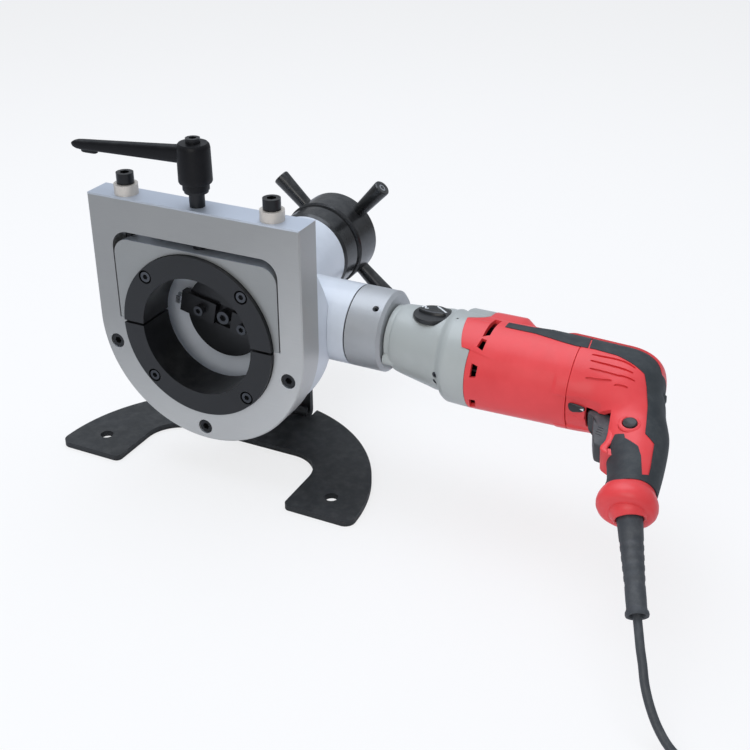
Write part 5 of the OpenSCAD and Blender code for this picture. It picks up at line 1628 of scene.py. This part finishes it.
@dataclass
class Handle(Maker):
    """The red pistol handle: a hollow shell with its openings, guard, lock ring and bell."""

    LOUVERS = (((11.7, 3.4), (23, 2.8), (35.6, 1.8), (50.4, -0.9)),
               ((12.4, 12.9), (33.5, 13.8), (45, 11), (52.8, 7.2)),
               ((13.9, 23.8), (38.2, 24.4), (50, 19.5), (59.7, 13.1)),
               ((13, 36.7), (25, 35.4), (40.9, 32.5)),
               ((47.5, 35.4), (55, 31.5), (62.8, 27.1)))
    # side view of what is cut away in front of the cheeks, as (x, s)
    FRONT_GAP = ((366, 55.4), (380.6, 55.4), (382, 63.7), (384.6, 83.2), (383.4, 91.3), (366, 91.3))
    # the lead's bore as (radius, distance along the strain relief)
    BORE = ((0.01, -6), (10.9, -6), (10.9, 45), (0.01, 45))
    # two drill places on the direction lever's pivot
    LEVER_LINE = ((354.5, 0.0, 0.0), (354.5, 0.0, 1.0))
    # where the bell starts and where it points
    BELL_LINE = ((415.4, 0.2, 118.4), (419.2, 3.4, 152.0))

    form: DrillForm

    def lift(self, u: Array, v: Array) -> Array:
        """Height of the shell over the plain form: recess by the lever, and the halves' parting line.

        Args:
            u: Lengths along the spine.
            v: Angles round it in degrees.

        Returns:
            Heights in millimetres.
        """
        side = both_sides(v)
        x = self.form.spine(u)[0]
        swell = 0.7 * step(side, 34, 52) * (1 - step(side, 63.5, 65.5)) * (1 - step(u, 3, 26))
        hollow = -1.0 * step(side, 64, 66) * (1 - step(x, 372, 392))
        seam = -0.35 * np.exp(-((90 - np.abs(side)) / 0.45) ** 2)
        return swell + hollow + seam

    def solid(self, lift: float, first: float, last: float, rough: bool = False) -> Form:
        """The closed form between two lengths of the spine, lifted by some millimetres.

        Args:
            lift: Height over the form.
            first: Length where it starts.
            last: Length where it ends.
            rough: Whether a coarse grid without recess and parting line will do.

        Returns:
            The closed form.
        """
        if rough:
            u, v = np.linspace(first, last, 70), np.arange(-180, 180, 6.0)
            grid = self.form.at(u[:, None], v[None], lift)
        else:
            u = np.concatenate([[first, first + 0.4], np.arange(first + 1.4, last, 1.4), [last]])
            v = np.concatenate([np.arange(-88.6, 89, 2.4), [89.1, 89.6, 90, 90.4, 90.9]])
            v = np.concatenate([v, np.arange(92.2, 268.8, 2.4), [269.1, 269.6, 270, 270.4, 270.9]])
            more = self.lift(u[:, None], v[None]) + lift
            more[0] -= 0.4
            grid = self.form.at(u[:, None], v[None], more)
        return capped(from_drill(grid))

    def build(self) -> None:
        """Make the shell, cut its openings, and add the guard, ring and bell."""
        cuts = [self.solid(-2.6, -3.0, 168.0, rough=True), prism(TRIGGER_ROOM, -TRIGGER_HALF, TRIGGER_HALF),
                prism(self.FRONT_GAP, -40, 40)]
        cuts += [self.groove(line, mirror) for line in self.LOUVERS for mirror in (False, True)]
        cuts.append(turned(self.BORE, 48, BOOT_ROOT, BOOT_WAY))
        hole = [(0.01, 5), (6.15, 5), (6.15, 40), (0.01, 40)]
        cuts.append(turned(hole, 48, *drill_line(*BUTTON_LINE)))
        lever = [(0.01, 30), (3.4, 30), (3.4, 60), (0.01, 60)]
        cuts.append(turned(lever, 32, *drill_line(*self.LEVER_LINE), (1, 0, 0)))
        self.place("handle_shell", self.solid(0.0, 0.05, 172.0), RED, "red_shell",
                   nodes=("handle_left", "handle_right"), cuts=cuts)
        self.bell()
        self.guard()
        self.ring()
        LOG.info("handle")

    def groove(self, line: Sequence[tuple[float, float]], mirror: bool) -> Form:
        """Cutter for a louver slit along a line of (u, v), narrower towards its ends.

        Args:
            line: Places of (u, v).
            mirror: Whether it lies on the right side.

        Returns:
            The closed form.
        """
        path = smooth_path([(u, v, 0.0) for u, v in line], 8)
        u, v = path[:, 0], path[:, 1]
        t = np.linspace(0, 1, len(u))
        half = 0.25 + 1.0 * np.sqrt(np.clip(1 - (2 * t - 1) ** 6, 0, 1))
        sheets = []
        for lift in (3.0, -1.7):
            sheet = self.form.at(u[:, None], v[:, None] + np.array([-1, 1]) * half[:, None] * 1.3, lift)
            if mirror:
                sheet = sheet * [1, -1, 1]
            sheets.append(from_drill(sheet))
        return slab(sheets[0], sheets[1])

    def bell(self) -> None:
        """The flared foot of the handle: a turned profile, and a raised mouth round the strain relief."""
        profile = [(0.01, 2.6), (19.3, 2.6), (20.4, 4), (22.4, 7.6), (23.9, 11.8), (24.3, 15.4), (23.8, 18.6),
                   (22.2, 21.4), (19.8, 23.2), (17, 24), (14, 24.1), (0.01, 24.1)]
        self.place("handle_bell", turned(profile, 96, *drill_line(*self.BELL_LINE)), RED, "red_shell",
                   sharp=50, cuts=[turned(self.BORE, 48, BOOT_ROOT, BOOT_WAY)])
        loop = ((11, 3), (11, 12.8), (11.6, 13.6), (12.5, 13.7), (13.4, 12.8), (14.6, 10.6), (15.8, 9.2),
                (15.8, 3))
        self.place("bell_mouth", turned_loop(loop, 72, BOOT_ROOT, BOOT_WAY), RED, "red_shell", sharp=50)

    def guard(self) -> None:
        """The cheeks beside the trigger, sheets that widen backwards, and the web below that joins them."""
        s = np.array([54, 55.6, 59, 63.7, 70, 76, 83.2, 86, 88, 90, 92, 94, 95.6, 96.8, 97.6])
        edge = through([54, 55.6, 63.7, 83.2, 86, 90, 92, 94, 95.6, 96.8, 97.6],
                       [380.5, 380.7, 381.9, 384.5, 384, 382.7, 382.6, 383.2, 384.6, 386.6, 389])
        depth = through([54, 92, 95.6, 97.6], [1, 1.1, 1, 0.3])
        back = np.array([0, 0.4, 1.6, 3, 4.4, 5.2, 5.6])
        wide = np.array([11.5, 12.0, 12.6, 13.0, 13.1, 12.7, 11.9])
        parts = []
        for side in (-1, 1):
            x = edge(s)[:, None] + back * depth(s)[:, None]
            outer = np.stack([x, side * wide + 0 * x, s[:, None] + 0 * x], -1)
            inner = np.stack([x, side * TRIGGER_HALF + 0 * x, s[:, None] + 0 * x], -1)
            parts.append(slab(from_drill(outer), from_drill(inner)))
        web = ((383.6, 91.6), (383, 92.6), (383.2, 94), (384.6, 95.6), (386.8, 96.8), (390, 97.6),
               (396, 97.6), (396, 91.5), (386, 91.4))
        self.place("trigger_guard", joined([*parts, prism(web, -11.5, 11.5)]), RED, "red_shell")

    def ring(self) -> None:
        """The raised ring round the lock button."""
        loop = ((6.3, 17), (6.3, 20.3), (6.9, 20.8), (8.0, 20.7), (9.4, 19.6), (9.6, 17))
        self.place("lock_ring", turned_loop(loop, 64, *drill_line(*BUTTON_LINE)), RED, "red_shell")


@dataclass
class Overmold(Maker):
    """The dark soft cover over the drill's back and round its grip."""

    # side view of the covered part as (x, s)
    OUTLINE = ((272, 7.5), (300, 7.1), (322, 10.3), (337, 11.8), (352.8, 10.4), (371.7, 12), (389.6, 17.7),
               (397.9, 20.6), (402.5, 29.8), (408, 46.4), (410.6, 58), (413.7, 73.4), (418.7, 76.5),
               (422.7, 79.1), (425.1, 93.7), (426.9, 104.7), (427.8, 113.8), (423.5, 117.2),
               (417.5, 98.7), (412.5, 89.3), (400.1, 83), (398.1, 78.9), (390.7, 78.8), (389.3, 86.4),
               (388, 92.2), (370, 96), (370, 135), (388, 133), (400, 130), (413.6, 126), (424.9, 122.2),
               (435, 119.5), (470, 112), (470, -60), (313, -60), (312, -30), (308, -9.8), (293.5, -3.7),
               (272, -1.9))
    # side view of the thin gap across it
    SPLIT = ((348.6, 13), (346.9, 1), (345.4, -8), (342.4, -34), (341.0, -34), (344.1, -8), (345.6, 1),
             (347.2, 13))
    # half of a width that goes past the drill's flanks
    REACH = 70

    form: DrillForm

    def build(self) -> None:
        """Make the cover: a thicker copy of the form, within the side view outline, less the form."""
        u = np.arange(-72, 172.1, 1.5)[:, None]
        v = np.arange(-180, 180, 2.4)[None]
        grow = 0.6 + 0.6 * np.sin(np.radians(v)) ** 2
        inner = self.form.at(np.arange(-75, 175.1, 1.5)[:, None], v, -0.1)
        cuts = [capped(from_drill(inner)), prism(self.SPLIT, -self.REACH, self.REACH),
                prism(TRIGGER_ROOM, -TRIGGER_HALF, TRIGGER_HALF)]
        self.place("soft_cover", capped(from_drill(self.form.at(u, v, grow))), RUBBER, "overmold",
                   nodes=("spine_overmold", "grip_overmold"), sharp=40, cuts=cuts,
                   within=[prism(self.OUTLINE, -self.REACH, self.REACH)])
        self.crest()
        LOG.info("overmold")

    def crest(self) -> None:
        """The red crest along the middle of the back: a strip of the form, lifted most at its middle."""
        u, v = np.linspace(-24, 58, 60)[:, None], np.linspace(-130, -50, 41)[None]
        lift = (3.2 - 0.7 * ((v + 90) / 40) ** 4) * step(u, -25, -12) * (1 - step(u, 50, 59)) + 0.3
        sheets = [from_drill(self.form.at(u, v, value)) for value in (lift, -0.6)]
        self.place("back_crest", slab(*sheets), RED, "red_shell")


class Trigger(Maker):
    """The trigger, the lock button and the direction lever."""

    OUTLINE = ((360.4, 53.8), (361.4, 55.8), (365.6, 57.2), (367.4, 61.5), (368.6, 67), (370.2, 73),
               (372, 79), (374.8, 86), (376.8, 89.6), (380, 90.8), (384.5, 90.8), (390, 89), (391, 80),
               (391, 60), (388, 55), (378, 52.5), (366, 51.2), (361.6, 51.6))

    def build(self) -> None:
        """Make the trigger: its side view outline in slices across, smaller towards both flanks."""
        line = np.array(self.OUTLINE, float)
        closed_line = smooth_path([(x, s, 0.0) for x, s in (*self.OUTLINE, self.OUTLINE[0])], 4)[:-1, :2]
        centre = line.mean(0)
        rows = []
        for y, shrink in ((-10.4, 0.87), (-10.2, 0.91), (-9.6, 0.94), (-8.6, 0.965), (-7, 0.98), (-4, 0.995),
                          (4, 0.995), (7, 0.98), (8.6, 0.965), (9.6, 0.94), (10.2, 0.91), (10.4, 0.87)):
            at = centre + (closed_line - centre) * shrink
            rows.append(np.stack([at[:, 0], 0 * at[:, 0] + y, at[:, 1]], -1))
        parts = [capped(from_drill(np.stack(rows)))]
        for s in (69, 71.6, 74.2, 76.8):
            bar = ((374.2, s), (379.0, s + 0.9), (379.0, s + 1.7), (374.2, s + 0.8))
            parts.append(prism(bar, -10.75, 10.75))
        self.place("trigger_lever", joined(parts), TRIGGER, "black_plastic", "trigger", ("trigger",), 40)
        self.button()
        self.reverse()
        LOG.info("trigger, lock button and direction lever")

    def reverse(self) -> None:
        """The direction lever: a bean that follows the barrel's underside, its tongue and a white mark."""
        line = np.array([(343.2, -10.4), (344, -12.5), (349, -12.9), (354, -12.1), (357.2, -11.2),
                         (357.8, -9), (355, -6.8), (351.2, -6), (347.4, -5.2), (344.4, -6.8), (343.2, -10.4)])
        line = smooth_path(np.insert(line, 2, 0.0, axis=1), 5)[:-1, :2]
        tongue = np.array([(351, -8), (357.6, -8), (357.6, -2), (357, 1.6), (354.5, 3), (352, 1.6),
                           (351.2, -2)])
        mark = np.array([(353.4, -10.0), (356.8, -11.0), (356.8, -8.6)])

        def layer(xy: Array, levels: Sequence[tuple[float, float]]) -> Form:
            """Stack copies of an outline, each scaled and lifted over the barrel's underside.

            Args:
                xy: The outline.
                levels: Pairs of scale and height.

            Returns:
                The closed form.
            """
            rows, centre = [], xy.mean(0)
            for scale, lift in levels:
                at = centre + (xy - centre) * scale
                low = 15 + np.sqrt(39.2**2 - at[:, 1] ** 2) + lift
                rows.append(np.stack([at[:, 0], at[:, 1], low], -1))
            return capped(from_drill(np.stack(rows)))

        bean = ((0.98, 0.02), (1.0, 0.6), (0.94, 1.1), (0.8, 1.35))
        lever = "direction_lever"
        self.place("direction_bean", layer(line, bean), BLACK_PLASTIC, "black_plastic", lever, (lever,))
        self.place("direction_tongue", layer(tongue, ((1.0, -4.0), (1.0, 0.2))), RED, "red_shell", lever)
        self.place("direction_mark", layer(mark, ((1.0, 0.8), (1.0, 1.5))), MARK, "black_plastic", lever)

    def button(self) -> None:
        """The black lock button with a domed face."""
        profile = [(0.01, 14.6), (5.9, 14.6), (5.95, 20.2), (5.7, 21.1), (5.0, 21.5), (4.4, 21.4),
                   (3.6, 21.1), (0.01, 20.9)]
        self.place("lock_button_cap", turned(profile, 48, *drill_line(*BUTTON_LINE)), BLACK_PLASTIC,
                   "black_plastic", "lock_button", ("lock_button",))


# ---------------------------------------------------------------- lever and spokes


class Machine(Maker):
    """The clamp lever and the feed wheel's spokes."""

    LEVER_Y = 14.5
    SPOKE_ANGLES = (48, 138, 228, 318)

    def lever(self) -> None:
        """Make the clamp lever: a turned hub, an arm of rounded slices along x, and a lug below its tip."""
        hub = [(0.01, 137.2), (11.6, 137.2), (12, 137.8), (12, 143), (14.4, 144), (15.1, 145.4), (15.1, 150),
               (14.8, 175), (14.2, 177.8), (12.8, 179.3), (0.01, 179.3)]
        stations = ((0, 159.8, 176.4, 5.6), (-14, 159.4, 175.4, 5.4), (-57, 158.4, 171.4, 5.0),
                    (-103, 157.2, 167.2, 4.7), (-119, 156.6, 165.8, 4.5), (-125, 157.1, 165.1, 4.3),
                    (-128.6, 158.2, 164, 3.7), (-130.6, 159.6, 162.8, 2.6), (-131, 160.6, 161.8, 1.2))
        a = np.linspace(0, 2 * np.pi, 32, endpoint=False)
        wide, tall = (np.sign(f) * np.abs(f) ** 0.6 for f in (np.cos(a), np.sin(a)))
        rows = [np.stack([0 * a + x, self.LEVER_Y + half * wide,
                          (low + high) / 2 + (high - low) / 2 * tall], -1) for x, low, high, half in stations]
        lug = [np.stack([-112.8 + k * 8.6 * wide, self.LEVER_Y + k * 2.6 * tall, 0 * a + z], -1)
               for k, z in ((0.9, 154.6), (1.0, 155.1), (1.0, 160.0))]
        form = joined([capped(spun(hub, 64) + np.array([0.0, self.LEVER_Y, 0.0])), capped(np.stack(rows)),
                       capped(np.stack(lug))])
        self.place("lever_arm", form, LEVER, "lever", "lever", ("clamp_lever",))
        LOG.info("clamp lever")

    def spokes(self) -> None:
        """Make the four spokes: turned bars that widen outwards, on the CAD spokes' middle plane."""
        low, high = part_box("wheel_spokes")
        middle = (low[1] + high[1]) / 2 / MM
        bar = [(0.01, 44), (7.3, 44), (7.5, 52), (8.4, 74), (9.0, 85.4), (8.8, 86.8), (8.0, 87.6),
               (4.6, 87.8), (4.4, 86.4), (0.01, 86.4)]
        parts = []
        for angle in self.SPOKE_ANGLES:
            a = math.radians(angle)
            way = (math.cos(a), 0.0, math.sin(a))
            parts.append(turned(bar, 48, (0.0, middle, 0.0), way, (0.0, 1.0, 0.0)))
        self.place("spoke_bars", joined(parts), SPOKE, "gloss_black", "wheel", ("wheel_spokes",))
        LOG.info("spokes")


# ---------------------------------------------------------------- the whole machine


def dress_nodes(paint: Paint, nodes: dict[str, bpy.types.Object]) -> None:
    """Give every CAD node the material of its finish.

    Args:
        paint: The materials.
        nodes: The CAD's objects by name.
    """
    for name, piece in nodes.items():
        material = paint.get(NODE_FINISH[name])
        piece.data.materials.clear()
        piece.data.materials.append(material)
    LOG.info("dressed %d nodes", len(nodes))


def corners(box: object) -> list[list[float]]:
    """A box's two corners as plain numbers."""
    return [[float(v) for v in corner] for corner in box]


def main() -> None:
    """Build the scene piece by piece."""
    logging.basicConfig(level=logging.INFO, format="%(name)s: %(message)s")
    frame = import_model()
    paint = Paint()
    Studio().build()
    Cord(paint).build()
    form = DrillForm()
    GearCase(paint).build()
    SpeedKnob(paint).build()
    MotorHousing(paint, form).build()
    Handle(paint, form).build()
    Overmold(paint, form).build()
    Trigger(paint).build()
    machine = Machine(paint)
    machine.lever()
    machine.spokes()
    dress_nodes(paint, frame["nodes"])


if __name__ == "__main__":
    main()
